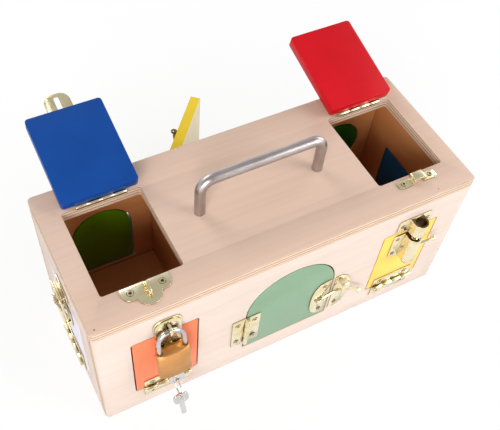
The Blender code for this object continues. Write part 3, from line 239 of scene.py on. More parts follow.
def birch(name, node, thickness, grain, tones=SANDED_WALL):
    """Birch ply: faint grain on the faces that are square to its thickness, layers on the edges."""
    material, shader, put = new_finish(name)
    place = put("TexCoord")
    stretched = put("Mapping", {"Vector": place.outputs["Object"],
                                "Scale": [7 if axis == grain else 240 for axis in "XYZ"]})
    fibres = put("TexNoise", {"Vector": stretched.outputs[0], "Scale": 1.0, "Detail": 4.0, "Roughness": 0.6})
    broad = put("Mapping", {"Vector": place.outputs["Object"],
                            "Scale": [2.2 if axis == grain else 17 for axis in "XYZ"]})
    figure = put("TexNoise", {"Vector": broad.outputs[0], "Scale": 1.0, "Detail": 3.0, "Distortion": 0.8})
    tone = shades(put, figure.outputs[0], (0.30, tones[0]), (0.70, tones[1]))
    lines = shades(put, fibres.outputs[0], (0.36, (0.86, 0.81, 0.76)), (0.55, (1, 1, 1)))
    face = blended(put, 0.22, tone, lines, "MULTIPLY")

    low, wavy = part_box(node)[0]["XYZ".index(thickness)], 0.0003
    depth = put("SeparateXYZ", {0: place.outputs["Object"]})
    waves = put("TexNoise", {"Vector": place.outputs["Object"], "Scale": 35.0, "Detail": 1.0})
    wander = put("MapRange", {"Value": waves.outputs[0], "To Min": low - wavy, "To Max": low + wavy})
    above = put("Math", {0: depth.outputs[thickness], 1: wander.outputs[0]}, operation="SUBTRACT")
    layer = put("Math", {0: above.outputs[0], 1: PLY}, operation="DIVIDE")
    pale, dark_line = (0.64, 0.46, 0.33), (0.060, 0.042, 0.028)
    # Dark lines lie between the plies, and the last dark band runs along the edge next to the face on the
    # high side of the thickness, so that arris shows as a dark line.
    plies = shades(put, layer.outputs[0], (0.0, pale), (0.29, pale), (0.30, dark_line), (0.35, dark_line), (0.36, pale),
                   (0.63, pale), (0.64, dark_line), (0.69, dark_line), (0.70, pale), (0.935, pale), (0.945, dark_line))
    facing = put("SeparateXYZ", {0: place.outputs["Normal"]})
    square = put("Math", {0: facing.outputs[thickness]}, operation="ABSOLUTE")
    on_face = put("MapRange", {"Value": square.outputs[0], "From Min": 0.55, "From Max": 0.80})
    colour = blended(put, on_face.outputs[0], plies, face)
    relief = put("Bump", {"Height": fibres.outputs[0], "Strength": 0.07, "Distance": 0.0003})
    sheen = put("MapRange", {"Value": fibres.outputs[0], "To Min": 0.60, "To Max": 0.46})
    links = material.node_tree.links
    # Painted shade: the wood darkens to near black in gaps and corners.
    links.new(painted_shade_in_gaps(put, colour, (0.035, 0.022, 0.014)), shader.inputs["Base Color"])
    links.new(sheen.outputs[0], shader.inputs["Roughness"])
    links.new(relief.outputs[0], shader.inputs["Normal"])
    shader.inputs["Specular IOR Level"].default_value = 0.35
    return material


def smooth_by_angle(mesh, degrees=50):
    """Smooth shading, with edges kept sharp where faces meet at more than an angle."""
    mesh.shade_smooth()
    mesh.set_sharp_from_angle(angle=radians(degrees))


def dressed(node, width, finishes, pick=None, angle=40, segments=2):
    """A merged copy of a CAD piece with its edges eased by width, which stands for it."""
    mesh = frame["nodes"][node].data.copy()
    mesh.materials.clear()
    for finish in finishes:
        mesh.materials.append(finish)
    weld, nearly_flat = 0.000002, radians(0.6)
    shape = bmesh.new()
    shape.from_mesh(mesh)
    bmesh.ops.remove_doubles(shape, verts=shape.verts, dist=weld)
    bmesh.ops.dissolve_limit(shape, angle_limit=nearly_flat, verts=shape.verts, edges=shape.edges)
    for polygon in shape.faces:
        polygon.smooth = True
        polygon.material_index = pick(polygon.calc_center_median(), polygon.normal) if pick else 0
    shape.to_mesh(mesh)
    shape.free()
    piece = bpy.data.objects.new(node + "_finish", mesh)
    bpy.context.scene.collection.objects.link(piece)
    if width:
        ease = piece.modifiers.new("ease", "BEVEL")
        ease.width, ease.segments, ease.limit_method = width, segments, "ANGLE"
        ease.angle_limit, ease.use_clamp_overlap = radians(angle), True
        piece.data = bpy.data.meshes.new_from_object(
            piece.evaluated_get(bpy.context.evaluated_depsgraph_get()))
        piece.modifiers.clear()
    smooth_by_angle(piece.data, angle)
    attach(piece, body_of(frame["nodes"][node])[0])
    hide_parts(node)
    return piece


def inner_face(axis, side):
    """Picks the second finish for the face of a wall that looks into the box."""
    return lambda centre, normal: int(normal[axis] * side > 0.9)


for node, thickness, grain, axis, side, tones in (
        ("front_panel", "Y", "X", 1, 1, SANDED_WALL), ("left_end_panel", "X", "Y", 0, 1, SANDED_WALL),
        ("top_panel", "Z", "X", 2, -1, SANDED_TOP)):
    outer = birch(node + "_birch", node, thickness, grain, tones)
    inner = birch(node + "_inner_birch", node, thickness, grain, SHADED_INSIDE)
    dressed(node, WALL_EASE, [outer, inner], inner_face(axis, side))
for node, thickness, grain in (("floor_panel", "Z", "X"), ("left_partition", "X", "Y"),
                               ("right_partition", "X", "Y")):
    dressed(node, INNER_EASE, [birch(node + "_birch", node, thickness, grain, SHADED_INSIDE)])


# Nails. Small steel nails hold the top to the walls. They are driven just under the surface, and show
# as dark dots near the corners of the top.
def tree_named(name, *sizes):
    """An empty Geometry Nodes tree with named inputs, and a call that adds a node and fills its sockets."""
    tree = bpy.data.node_groups.new(name, "GeometryNodeTree")
    tree.is_modifier = True
    tree.interface.new_socket("Geometry", in_out="INPUT", socket_type="NodeSocketGeometry")
    tree.interface.new_socket("Geometry", in_out="OUTPUT", socket_type="NodeSocketGeometry")
    for size, kind in sizes:
        tree.interface.new_socket(size, in_out="INPUT", socket_type="NodeSocket" + kind)

    def add(kind, sockets=None, **settings):
        node = tree.nodes.new(kind)
        for key, value in settings.items():
            setattr(node, key, value)
        for key, value in (sockets or {}).items():
            if isinstance(value, bpy.types.NodeSocket):
                tree.links.new(value, node.inputs[key])
            else:
                node.inputs[key].default_value = value
        return node

    return tree, add


def made_by(tree, name, mesh, sizes):
    """The plain mesh that a tree makes of some points or lines, as an object at the origin."""
    maker = bpy.data.objects.new(name + "_maker", mesh)
    bpy.context.scene.collection.objects.link(maker)
    step = maker.modifiers.new("made", "NODES")
    step.node_group = tree
    for socket in tree.interface.items_tree:
        if socket.in_out == "INPUT" and socket.name in sizes:
            step[socket.identifier] = sizes[socket.name]
    made = bpy.data.meshes.new_from_object(maker.evaluated_get(bpy.context.evaluated_depsgraph_get()))
    maker.modifiers.clear()
    bpy.data.objects.remove(maker)
    piece = bpy.data.objects.new(name, made)
    bpy.context.scene.collection.objects.link(piece)
    return piece


def make_head_tree():
    """A round head with a cross recess on every point: a box mesh rounded into a low dome, with painted shade
    in the recess and round the rim.
    """
    tree, add = tree_named("round_heads", ("Facing", "Vector"), ("Head Width", "Float"),
                           ("Head Rise", "Float"), ("Recess", "Float"), ("Seed", "Int"),
                           ("Finish", "Material"), ("Recess Shade Finish", "Material"))
    given = add("NodeGroupInput").outputs

    def maths(operation, a, b=0.0, c=0.0):
        return add("ShaderNodeMath", {0: a, 1: b, 2: c}, operation=operation).outputs[0]

    dome_fall, arm_half, arm_taper, rim_start, mark_from, foot = 0.96, 0.17, 1.5, 0.62, 0.25, 0.0002
    block = add("GeometryNodeMeshCube", {"Size": (2, 2, 2), "Vertices X": 13, "Vertices Y": 13,
                                         "Vertices Z": 2})
    grid = add("ShaderNodeSeparateXYZ", {0: add("GeometryNodeInputPosition").outputs[0]}).outputs
    disc, arms = [], []
    for a, b in ((0, 1), (1, 0)):
        across = maths("MULTIPLY", grid[b], grid[b])
        disc.append(maths("MULTIPLY", grid[a], maths("SQRT", maths("MULTIPLY_ADD", across, -0.5, 1.0))))
        taper = maths("MULTIPLY_ADD", maths("ABSOLUTE", grid[b]), -arm_taper, 1.0)
        in_arm = maths("LESS_THAN", maths("ABSOLUTE", grid[a]), arm_half)
        arms.append(maths("MULTIPLY", in_arm, maths("MAXIMUM", taper, 0.0)))
    reach = maths("MULTIPLY_ADD", disc[0], disc[0], maths("MULTIPLY", disc[1], disc[1]))
    bowl = maths("MULTIPLY_ADD", maths("MULTIPLY", reach, reach), -dome_fall, 1.0)
    dome = maths("SQRT", maths("MAXIMUM", bowl, 0.0))
    recess = maths("MULTIPLY", maths("MAXIMUM", *arms), given["Recess"])
    top = maths("MULTIPLY", maths("SUBTRACT", dome, recess), given["Head Rise"])
    above = maths("GREATER_THAN", grid[2], 0.0)
    rise = maths("MULTIPLY_ADD", above, maths("ADD", top, foot), -foot)
    half = maths("MULTIPLY", given["Head Width"], 0.5)
    place = add("ShaderNodeCombineXYZ", {0: maths("MULTIPLY", disc[0], half),
                                         1: maths("MULTIPLY", disc[1], half), 2: rise})
    # Painted shade: the cross recess and the outer rim of each head are marked for the dark finish, for the
    # shade in the recess and in the gap round the head.
    recess_or_rim = maths("MAXIMUM", recess, maths("SUBTRACT", reach, rim_start))
    cut = maths("MULTIPLY", above, maths("GREATER_THAN", recess_or_rim, mark_from))
    marked = add("GeometryNodeStoreNamedAttribute", {"Geometry": block.outputs["Mesh"], "Name": "recess",
                                                     "Value": cut}, data_type="FLOAT", domain="POINT")
    head = add("GeometryNodeSetPosition", {"Geometry": marked.outputs[0], "Position": place.outputs[0]})
    turned = add("FunctionNodeAlignRotationToVector", {"Vector": given["Facing"]}, axis="Z")
    row = add("GeometryNodeInstanceOnPoints", {"Points": given["Geometry"], "Instance": head.outputs[0],
                                               "Rotation": turned.outputs[0]})
    least, most, spin = 2, 3, 1
    random_turn = add("FunctionNodeRandomValue", {least: 0.0, most: 2 * pi, "Seed": given["Seed"]},
                      data_type="FLOAT")
    about_z = add("ShaderNodeCombineXYZ", {2: random_turn.outputs[spin]})
    spun = add("GeometryNodeRotateInstances", {"Instances": row.outputs[0], "Rotation": about_z.outputs[0]})
    real = add("GeometryNodeRealizeInstances", {0: spun.outputs[0]})
    finished = add("GeometryNodeSetMaterial", {"Geometry": real.outputs[0], "Material": given["Finish"]})
    # The marked recess and rim take the dark finish: painted shade.
    in_recess = add("GeometryNodeInputNamedAttribute", {"Name": "recess"}, data_type="FLOAT")
    darker = add("GeometryNodeSetMaterial", {
        "Geometry": finished.outputs[0], "Selection": maths("GREATER_THAN", in_recess.outputs[0], 0.3),
        "Material": given["Recess Shade Finish"]})
    add("NodeGroupOutput", {0: darker.outputs[0]})
    return tree


round_heads = make_head_tree()


def heads(name, body, facing, places, width, rise, recess, finish, recess_shade_finish, seed=1):
    """A row of round heads that look along facing, as one mesh on a body."""
    points = bpy.data.meshes.new(name + "_places")
    points.from_pydata([tuple(place) for place in places], [], [])
    piece = made_by(round_heads, name, points, {
        "Facing": tuple(facing), "Head Width": width, "Head Rise": rise, "Recess": recess, "Seed": seed,
        "Finish": finish, "Recess Shade Finish": recess_shade_finish})
    smooth_by_angle(piece.data)
    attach(piece, body)
    return piece


nail_finish, nail_shader, put = new_finish("driven_nail")
rust = put("TexNoise", {"Vector": put("TexCoord").outputs["Object"], "Scale": 900.0, "Detail": 3.0})
nail_finish.node_tree.links.new(shades(put, rust.outputs[0], (0.35, (0.060, 0.035, 0.022)),
                                       (0.65, (0.150, 0.095, 0.062))), nail_shader.inputs["Base Color"])
nail_shader.inputs["Roughness"].default_value = 0.55
nail_shader.inputs["Metallic"].default_value = 0.4
top_low, top_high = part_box("top_panel")
BOX_LEFT, BOX_FRONT = top_low.xy
BOX_RIGHT, BOX_BACK, BOX_TOP = top_high
nail_inset, nail_xs = 0.005, (-0.1965, 0.1595)
heads("top_nails", "box", (0, 0, 1), [(x, BOX_FRONT + nail_inset, BOX_TOP) for x in nail_xs],
      width=0.0013, rise=0.00006, recess=0.0, finish=nail_finish, recess_shade_finish=nail_finish)


# Carry handle. It is an 11 mm steel rod, bent at both ends and brushed along its length, and held by
# screws from under the top.
def make_rod_tree():
    """A round rod along the lines of a mesh, with its corners bent to a radius."""
    tree, add = tree_named("bent_rod", ("Rod Width", "Float"), ("Bend", "Float"), ("Bend Steps", "Int"),
                           ("Sides", "Int"), ("Finish", "Material"))
    given = add("NodeGroupInput").outputs
    line = add("GeometryNodeMeshToCurve", {"Mesh": given["Geometry"]})
    bent = add("GeometryNodeFilletCurve", {"Curve": line.outputs[0], "Count": given["Bend Steps"],
                                           "Radius": given["Bend"], "Limit Radius": True}, mode="POLY")
    half = add("ShaderNodeMath", {0: given["Rod Width"], 1: 0.5}, operation="MULTIPLY")
    section = add("GeometryNodeCurvePrimitiveCircle", {"Resolution": given["Sides"],
                                                       "Radius": half.outputs[0]})
    rod = add("GeometryNodeCurveToMesh", {"Curve": bent.outputs[0], "Profile Curve": section.outputs[0],
                                          "Fill Caps": True})
    real = add("GeometryNodeRealizeInstances", {0: rod.outputs[0]})
    finished = add("GeometryNodeSetMaterial", {"Geometry": real.outputs[0], "Material": given["Finish"]})
    add("NodeGroupOutput", {0: finished.outputs[0]})
    return tree


bent_rod = make_rod_tree()


def rod(name, body, corners, width, bend, steps, sides, finish, slot, closed=False, stands_for=None):
    """A bent rod through its corners, as a mesh on a body."""
    line = bpy.data.meshes.new(name + "_line")
    joins = [(i, i + 1) for i in range(len(corners) - 1)] + ([(len(corners) - 1, 0)] if closed else [])
    line.from_pydata([tuple(corner) for corner in corners], joins, [])
    piece = made_by(bent_rod, name, line, {"Rod Width": width, "Bend": bend, "Bend Steps": steps,
                                           "Sides": sides, "Finish": finish})
    shape = bmesh.new()
    shape.from_mesh(piece.data)
    bmesh.ops.recalc_face_normals(shape, faces=shape.faces)
    shape.to_mesh(piece.data)
    shape.free()
    smooth_by_angle(piece.data)
    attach(piece, body)
    if stands_for:
        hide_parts(stands_for)
    return piece


def metal(name, dark, light, smooth, rough, brushed=None, relief=0.0, gap_shade_colour=None):
    """A metal whose tone and gloss vary a little, with fine lines along one axis where it is brushed.

    Where a gap shade colour is given, gaps and corners darken towards it: painted shade, found by ambient
    occlusion.
    """
    material, shader, put = new_finish(name)
    place = put("TexCoord")
    along, across, even = 40, 1500, 180
    stretch = [along if axis == brushed else across if brushed else even for axis in "XYZ"]
    mapped = put("Mapping", {"Vector": place.outputs["Object"], "Scale": stretch})
    grain = put("TexNoise", {"Vector": mapped.outputs[0], "Scale": 1.0, "Detail": 3.0, "Roughness": 0.5})
    cloud = put("TexNoise", {"Vector": place.outputs["Object"], "Scale": 60.0, "Detail": 2.0})
    gloss = put("MapRange", {"Value": grain.outputs[0], "From Min": 0.3, "From Max": 0.7,
                             "To Min": smooth, "To Max": rough})
    links = material.node_tree.links
    tone = shades(put, cloud.outputs[0], (0.32, dark), (0.68, light))
    # Painted shade: gaps and corners darken towards the given colour.
    if gap_shade_colour:
        tone = painted_shade_in_gaps(put, tone, gap_shade_colour, reach=0.0035, most=0.78)
    links.new(tone, shader.inputs["Base Color"])
    links.new(gloss.outputs[0], shader.inputs["Roughness"])
    if relief:
        bump = put("Bump", {"Height": grain.outputs[0], "Strength": relief, "Distance": 0.0001})
        links.new(bump.outputs[0], shader.inputs["Normal"])
    shader.inputs["Metallic"].default_value = 1.0
    return material


satin_steel = metal("satin_steel", (0.40, 0.355, 0.345), (0.52, 0.47, 0.455), 0.30, 0.44, brushed="X",
                    relief=0.12)
handle_low, handle_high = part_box("carry_handle")
handle_width = handle_high.y - handle_low.y
handle_y = (handle_low.y + handle_high.y) / 2
leg_x, grip_z = handle_high.x - handle_width / 2, handle_high.z - handle_width / 2
rod("carry_handle_rod", "box",
    [(-leg_x, handle_y, handle_low.z), (-leg_x, handle_y, grip_z), (leg_x, handle_y, grip_z),
     (leg_x, handle_y, handle_low.z)],
    width=handle_width, bend=0.0135, steps=12, sides=32, finish=satin_steel, slot="satin_steel",
    stands_for="carry_handle")


# Blue lid. It is cut from the same ply and sprayed on all sides with satin paint. A pressed brass butt
# hinge holds its rear edge, with two screws in each leaf.
def paint(name, colour, gloss=0.34):
    """Satin paint with a faint texture from the spray, a slight change of tone, and painted shade in its gaps
    and corners.
    """
    material, shader, put = new_finish(name)
    place = put("TexCoord")
    spray = put("TexNoise", {"Vector": place.outputs["Object"], "Scale": 1100.0, "Detail": 2.0})
    cloud = put("TexNoise", {"Vector": place.outputs["Object"], "Scale": 24.0, "Detail": 4.0})
    deep, light, painted_gap_shade = [tuple(part * scale for part in colour) for scale in (0.93, 1.06, 0.10)]
    bump = put("Bump", {"Height": spray.outputs[0], "Strength": 0.06, "Distance": 0.0002})
    sheen = put("MapRange", {"Value": cloud.outputs[0], "To Min": gloss - 0.05, "To Max": gloss + 0.08})
    links = material.node_tree.links
    tone = shades(put, cloud.outputs[0], (0.3, deep), (0.7, light))
    # Painted shade: the tone darkens to a tenth of the paint colour in gaps and corners.
    links.new(painted_shade_in_gaps(put, tone, painted_gap_shade), shader.inputs["Base Color"])
    links.new(bump.outputs[0], shader.inputs["Normal"])
    links.new(sheen.outputs[0], shader.inputs["Roughness"])
    shader.inputs["Specular IOR Level"].default_value = 0.15
    return material


# The last colour of each brass is painted shade in its gaps and corners.
bright_brass = metal("bright_brass", (0.84, 0.715, 0.42), (0.94, 0.85, 0.61), 0.20, 0.28,
                     gap_shade_colour=(0.26, 0.155, 0.055))
screw_brass = metal("screw_brass", (0.80, 0.66, 0.36), (0.92, 0.80, 0.52), 0.20, 0.32,
                    gap_shade_colour=(0.20, 0.12, 0.045))
# A near-black brass for the recesses and rims of screw heads: painted shade.
screw_recess_shade = metal("screw_recess_shade", (0.05, 0.033, 0.016), (0.10, 0.066, 0.032), 0.45, 0.6)
# How far the edges of a lid and of a pressed plate are rounded, and how wide the common screw head is.
LID_EASE, PLATE_EASE, SCREW_WIDTH = 0.0006, 0.00015, 0.0062


def brass_plates(*nodes):
    """Bright brass for pressed plates, with the edges just broken."""
    for node in nodes:
        dressed(node, PLATE_EASE, [bright_brass])


def screws(name, body, facing, places, width=SCREW_WIDTH, seed=1, rise=0.0007):
    """Brass cross-head screws, driven home in the plates of a fitting, with painted shade in their recesses
    and round their rims.
    """
    return heads(name, body, facing, places, width, rise, recess=0.8, finish=screw_brass,
                 recess_shade_finish=screw_recess_shade, seed=seed)


def joint_named(name):
    """A joint of the frame."""
    return next(joint for joint in frame["joints"] if joint["name"] == name)


def pin_of(name):
    """A point on the axis that a joint turns about."""
    return Vector(joint_named(name)["pos_m"])


def swung(name, degrees, facing, places):
    """Where a direction and places go when a piece that was drawn shut is turned about its joint."""
    pin, turn = pin_of(name), Matrix.Rotation(radians(degrees), 3, Vector(joint_named(name)["axis"]))
    return turn @ Vector(facing), [pin + turn @ (Vector(place) - pin) for place in places]


def pair(middle, spread):
    """Two places, one on each side of a middle."""
    return middle - spread, middle + spread


# How far a leaf's screws lie from the hinge's pin and from its middle, and how far a leaf stands out.
LEAF_SCREW, SCREW_SPREAD, LEAF_OUT = 0.0095, 0.0165, 0.0013


def on_open_lid(lid, places):
    """What faces up in a shut lid, turned with the lid to where it stands open."""
    joint = lid + "_swing"
    return swung(joint, -joint_named(joint)["range_deg"][1], (0, 0, 1), places)


def lid_hinge_screws(lid, seed):
    """Two screws in each leaf of a lid's hinge."""
    pin = pin_of(lid + "_swing")
    on_lid, on_top = [[(x, y, BOX_TOP + LEAF_OUT) for x in pair(pin.x, SCREW_SPREAD)]
                      for y in pair(pin.y, LEAF_SCREW)]
    screws(lid + "_hinge_screws", "box", (0, 0, 1), on_top, seed=seed)
    screws(lid + "_leaf_screws", lid, *on_open_lid(lid, on_lid), seed=seed + 1)


dressed("blue_lid", LID_EASE, [paint("blue_paint", (0.005, 0.056, 0.270))])
brass_plates("blue_lid_hinge_fixed", "blue_lid_hinge_moving")
lid_hinge_screws("blue_lid", 2)


# Blue hasp. Its leaf is screwed on near the lid's front edge, and the slot of the strap that is hinged to
# it drops over the eye of the staple on the top. All three are pressed from brass sheet.
brass_plates("blue_hasp_leaf", "blue_hasp_strap", "blue_hasp_staple")
staple_low, staple_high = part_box("blue_hasp_staple")
staple_ear, staple_rim = 0.0085, 0.0066
# The staple's screws are all but flush, because the strap lies over them when the lid is shut.
screws("blue_staple_screws", "box", (0, 0, 1),
       [(x, staple_high.y - staple_rim, BOX_TOP + LEAF_OUT)
        for x in (staple_low.x + staple_ear, staple_high.x - staple_ear)], width=0.0068, seed=4, rise=0.0002)
blue_pin, hasp_reach, HASP_SPREAD = pin_of("blue_lid_swing"), 0.0825, 0.008
screws("blue_hasp_leaf_screws", "blue_lid",
       *on_open_lid("blue_lid", [(x, blue_pin.y - hasp_reach, BOX_TOP + LEAF_OUT)
                                 for x in pair(blue_pin.x, HASP_SPREAD)]), seed=5)


# Red lid. It is cut from the same ply as the blue one, sprayed red on all sides, and hangs on the same
# pressed brass butt hinge with four screws.
dressed("red_lid", LID_EASE, [paint("red_paint", (0.560, 0.006, 0.013))])
brass_plates("red_lid_hinge_fixed", "red_lid_hinge_moving")
lid_hinge_screws("red_lid", 6)


# Small bolt of the red lid. A thin brass rod with a turned knob slides in a pressed barrel with four
# screws, and shoots under a flat strip that is bent up into a bridge and screwed to the top.
def turned_brass(node):
    """Bright brass for a turned or bent round piece, which has no edges to break."""
    return dressed(node, 0, [bright_brass], angle=62)


brass_plates("red_bolt_barrel")
turned_brass("red_bolt")
brass_plates("red_bolt_keeper")
keeper_low, keeper_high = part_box("red_bolt_keeper")
strip_end, PLATE_OUT = 0.0064, 0.0015
screws("red_keeper_screws", "box", (0, 0, 1),
       [(x, (keeper_low.y + keeper_high.y) / 2, BOX_TOP + PLATE_OUT)
        for x in (keeper_low.x + strip_end, keeper_high.x - strip_end)], width=0.0058, seed=8)
barrel_reach, barrel_spread, barrel_rows = 0.0947, 0.0138, (0.0075, 0.0275)
barrel_x, barrel_edge = (keeper_low.x + keeper_high.x) / 2, pin_of("red_lid_swing").y - barrel_reach
screws("red_barrel_screws", "red_lid",
       *on_open_lid("red_lid", [(x, barrel_edge + row, BOX_TOP + PLATE_OUT)
                                for x in pair(barrel_x, barrel_spread) for row in barrel_rows]),
       width=0.0050, seed=9)


# Orange door. It is a flush painted leaf of ply on a brass butt hinge at its foot. A hasp on its top edge
# drops over an eye on the box front, where the padlock holds it.
DOOR_EASE = 0.0005


def face_screws(name, body, places, width=SCREW_WIDTH, out=LEAF_OUT, seed=1):
    """Screws on the box front, placed by x and z."""
    return screws(name, body, (0, -1, 0), [(x, BOX_FRONT - out, z) for x, z in places], width, seed)


def foot_hinge_screws(colour, seed):
    """Two screws in each leaf of the hinge at the foot of a door in the front."""
    pin = pin_of(colour + "_door_swing")
    on_box, on_door = [[(x, z) for x in pair(pin.x, SCREW_SPREAD)] for z in pair(pin.z, LEAF_SCREW)]
    face_screws(colour + "_hinge_screws", "box", on_box, seed=seed)
    face_screws(colour + "_leaf_screws", colour + "_door", on_door, seed=seed + 1)


dressed("orange_door", DOOR_EASE, [paint("orange_paint", (0.800, 0.200, 0.090))])
brass_plates("orange_door_hinge_fixed", "orange_door_hinge_moving", "orange_hasp_leaf", "orange_hasp_strap",
             "orange_hasp_staple")
foot_hinge_screws("orange", 10)
leaf_low, leaf_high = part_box("orange_hasp_leaf")
leaf_foot = 0.0065
face_screws("orange_hasp_leaf_screws", "orange_door",
            [(x, leaf_low.z + leaf_foot) for x in pair((leaf_low.x + leaf_high.x) / 2, HASP_SPREAD)], seed=12)


# Padlock. The body is cast brass with a brushed finish, and the shackle is a hardened, chromed rod. It
# hangs from the eye of the orange door's hasp.
padlock_brass = metal("padlock_brass", (0.64, 0.315, 0.108), (0.74, 0.370, 0.138), 0.38, 0.50, brushed="X",
                      relief=0.10)
dressed("padlock_body", 0.0004, [padlock_brass], segments=3, angle=50)
# The chrome's last colour is painted shade in its gaps and corners.
chrome = metal("chrome", (0.52, 0.52, 0.54), (0.68, 0.68, 0.70), 0.06, 0.12, gap_shade_colour=(0.10, 0.10, 0.11))
bow, lock_up = pin_of("padlock_swing"), -Vector(joint_named("padlock_release")["axis"])
half_spacing, straight = 0.0124, 0.00002
bow_height, long_leg, short_leg = 0.0254, 0.020, 0.007
to_right = Vector((half_spacing, 0, 0))
body_top = bow - lock_up * bow_height
rod("padlock_shackle_rod", "padlock_shackle",
    [body_top - lock_up * long_leg - to_right, bow - to_right, bow + to_right,
     body_top - lock_up * short_leg + to_right],
    width=0.0048, bend=half_spacing - straight, steps=14, sides=24, finish=chrome, slot="chrome",
    stands_for="padlock_shackle")


# Keys. Two flat nickelled keys are stamped and cut, one in the lock and a spare on a split ring of round
# wire through the hole of the first.
def circle(middle, radius, corners):
    """The corners of a ring that stands square to the front."""
    return [middle + Vector((0, cos(turn), sin(turn))) * radius
            for turn in [2 * pi * i / corners for i in range(corners)]]


nickel = metal("nickel", (0.58, 0.57, 0.555), (0.76, 0.75, 0.735), 0.16, 0.28)
for node in ("padlock_key", "spare_key"):
    dressed(node, PLATE_EASE, [nickel])
ring_low, ring_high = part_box("key_ring")
# The wire is a little thinner than its solid, so that the ring clears the key over its whole swing.
ring_radius, slack = 0.0125, 0.94
rod("key_ring_wire", "key_ring", circle((ring_low + ring_high) / 2, ring_radius, corners=48),
    width=(ring_high.x - ring_low.x) * slack, bend=0.0, steps=1, sides=12, finish=nickel, slot="nickel",
    closed=True, stands_for="key_ring")


# Green door. It is a round-headed painted leaf of ply on a brass butt hinge on its left, with two screws
# in each leaf of the hinge.
dressed("green_door", DOOR_EASE, [paint("green_paint", (0.200, 0.312, 0.206))])
brass_plates("green_door_hinge_fixed", "green_door_hinge_moving")
green_pin = pin_of("green_door_swing")
on_box, on_door = [[(x, z) for z in pair(green_pin.z, SCREW_SPREAD)] for x in pair(green_pin.x, LEAF_SCREW)]
face_screws("green_hinge_screws", "box", on_box, seed=13)
face_screws("green_leaf_screws", "green_door", on_door, seed=14)


# Swing catch of the green door. A cast brass arm with a ball end turns on a post of the plate on the
# door, and drops behind a hooked lug of the plate on the box. Each plate has screws near its ends.
brass_plates("green_catch_plate", "green_catch_keeper")
turned_brass("green_catch_arm")
catch_x, catch_keeper_x, catch_rows, SMALL_SCREW = 0.0420, 0.0615, (0.0865, 0.0415), 0.0052
face_screws("green_catch_screws", "green_door", [(catch_x, row) for row in catch_rows], SMALL_SCREW, seed=15)
face_screws("green_keeper_screws", "box", [(catch_keeper_x, row) for row in catch_rows], SMALL_SCREW, seed=16)


# Yellow door. It is a flush painted leaf of ply, cut to the opening, on a brass butt hinge at its foot
# with two screws in each leaf.
dressed("yellow_door", DOOR_EASE, [paint("yellow_paint", (0.830, 0.550, 0.115))])
brass_plates("yellow_door_hinge_fixed", "yellow_door_hinge_moving")
foot_hinge_screws("yellow", 17)


# Thick barrel bolt of the yellow door. A turned brass rod with a side knob slides in a pressed barrel
# with four screws, and shoots up into a keeper of the same section on the box.
bolt_x, bolt_out, bore_reach = pin_of("yellow_door_swing").x, 0.0077, 0.0061
bore_middle = Vector((bolt_x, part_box("yellow_bolt_barrel")[0].y + bolt_out))
# Painted shade: a dark brass for the inside of the bore, where light hardly gets in.
bore_shade_brass = metal("bore_shade_brass", (0.13, 0.075, 0.030), (0.20, 0.12, 0.050), 0.40, 0.55)


def bore(centre, normal):
    """Picks the dark finish for the inside of the barrel and of its keeper: painted shade down the bore."""
    return int((centre.xy - bore_middle).length < bore_reach)


for node in ("yellow_bolt_barrel", "yellow_bolt_keeper"):
    dressed(node, PLATE_EASE, [bright_brass, bore_shade_brass], bore)
turned_brass("yellow_bolt")
flange, bolt_rows, bolt_keeper_row = 0.0150, (0.1215, 0.0965), 0.1434
face_screws("yellow_barrel_screws", "yellow_door",
            [(x, row) for x in pair(bolt_x, flange) for row in bolt_rows], SMALL_SCREW, PLATE_OUT, seed=19)
face_screws("yellow_keeper_screws", "box", [(x, bolt_keeper_row) for x in pair(bolt_x, flange)], SMALL_SCREW,
            PLATE_OUT, seed=20)


# Lilac door of the left end. It is a flush painted leaf of ply on a brass butt hinge at its foot, with two
# screws in each leaf.
def end_screws(name, body, places, width=SCREW_WIDTH, out=LEAF_OUT, seed=1):
    """Screws on the left end, placed by y and z."""
    return screws(name, body, (-1, 0, 0), [(BOX_LEFT - out, y, z) for y, z in places], width, seed)


dressed("lilac_door", DOOR_EASE, [paint("lilac_paint", (0.720, 0.680, 0.780))])
brass_plates("lilac_door_hinge_fixed", "lilac_door_hinge_moving")
lilac_pin = pin_of("lilac_door_swing")
on_box, on_door = [[(y, z) for y in pair(lilac_pin.y, SCREW_SPREAD)] for z in pair(lilac_pin.z, LEAF_SCREW)]
end_screws("lilac_hinge_screws", "box", on_box, seed=21)
end_screws("lilac_leaf_screws", "lilac_door", on_door, seed=22)


# Draw latch of the lilac door. A pressed base carries a channel lever on a cross pin, and the lever
# pulls a wire bail over the lip of a keeper on the box.
brass_plates("draw_latch_base", "draw_latch_lever", "draw_latch_keeper")
turned_brass("draw_latch_bail")
latch_screw, base_spread, base_row, lip_spread, lip_row = 0.0044, 0.0072, 0.0965, 0.0090, 0.1458
end_screws("latch_base_screws", "lilac_door", [(y, base_row) for y in pair(lilac_pin.y, base_spread)],
           latch_screw, PLATE_OUT, seed=23)
end_screws("latch_keeper_screws", "box", [(y, lip_row) for y in pair(lilac_pin.y, lip_spread)],
           latch_screw, PLATE_OUT, seed=24)


# Wide rear door. It is painted yellow outside and on its edges and cream inside, and stands open on a
# hinge whose leaves are let into the wood. The back wall carries the hinge's fixed leaf.
# What stands out past the wood by more than this is brass.
PROUD = 0.00005


def brass_beyond(axis, wall):
    """Picks the brass for what stands out past a wall's outer plane, and the inner face's own finish."""
    return lambda centre, normal: 1 if centre[axis] > wall + PROUD else 2 if normal[axis] < -0.9 else 0


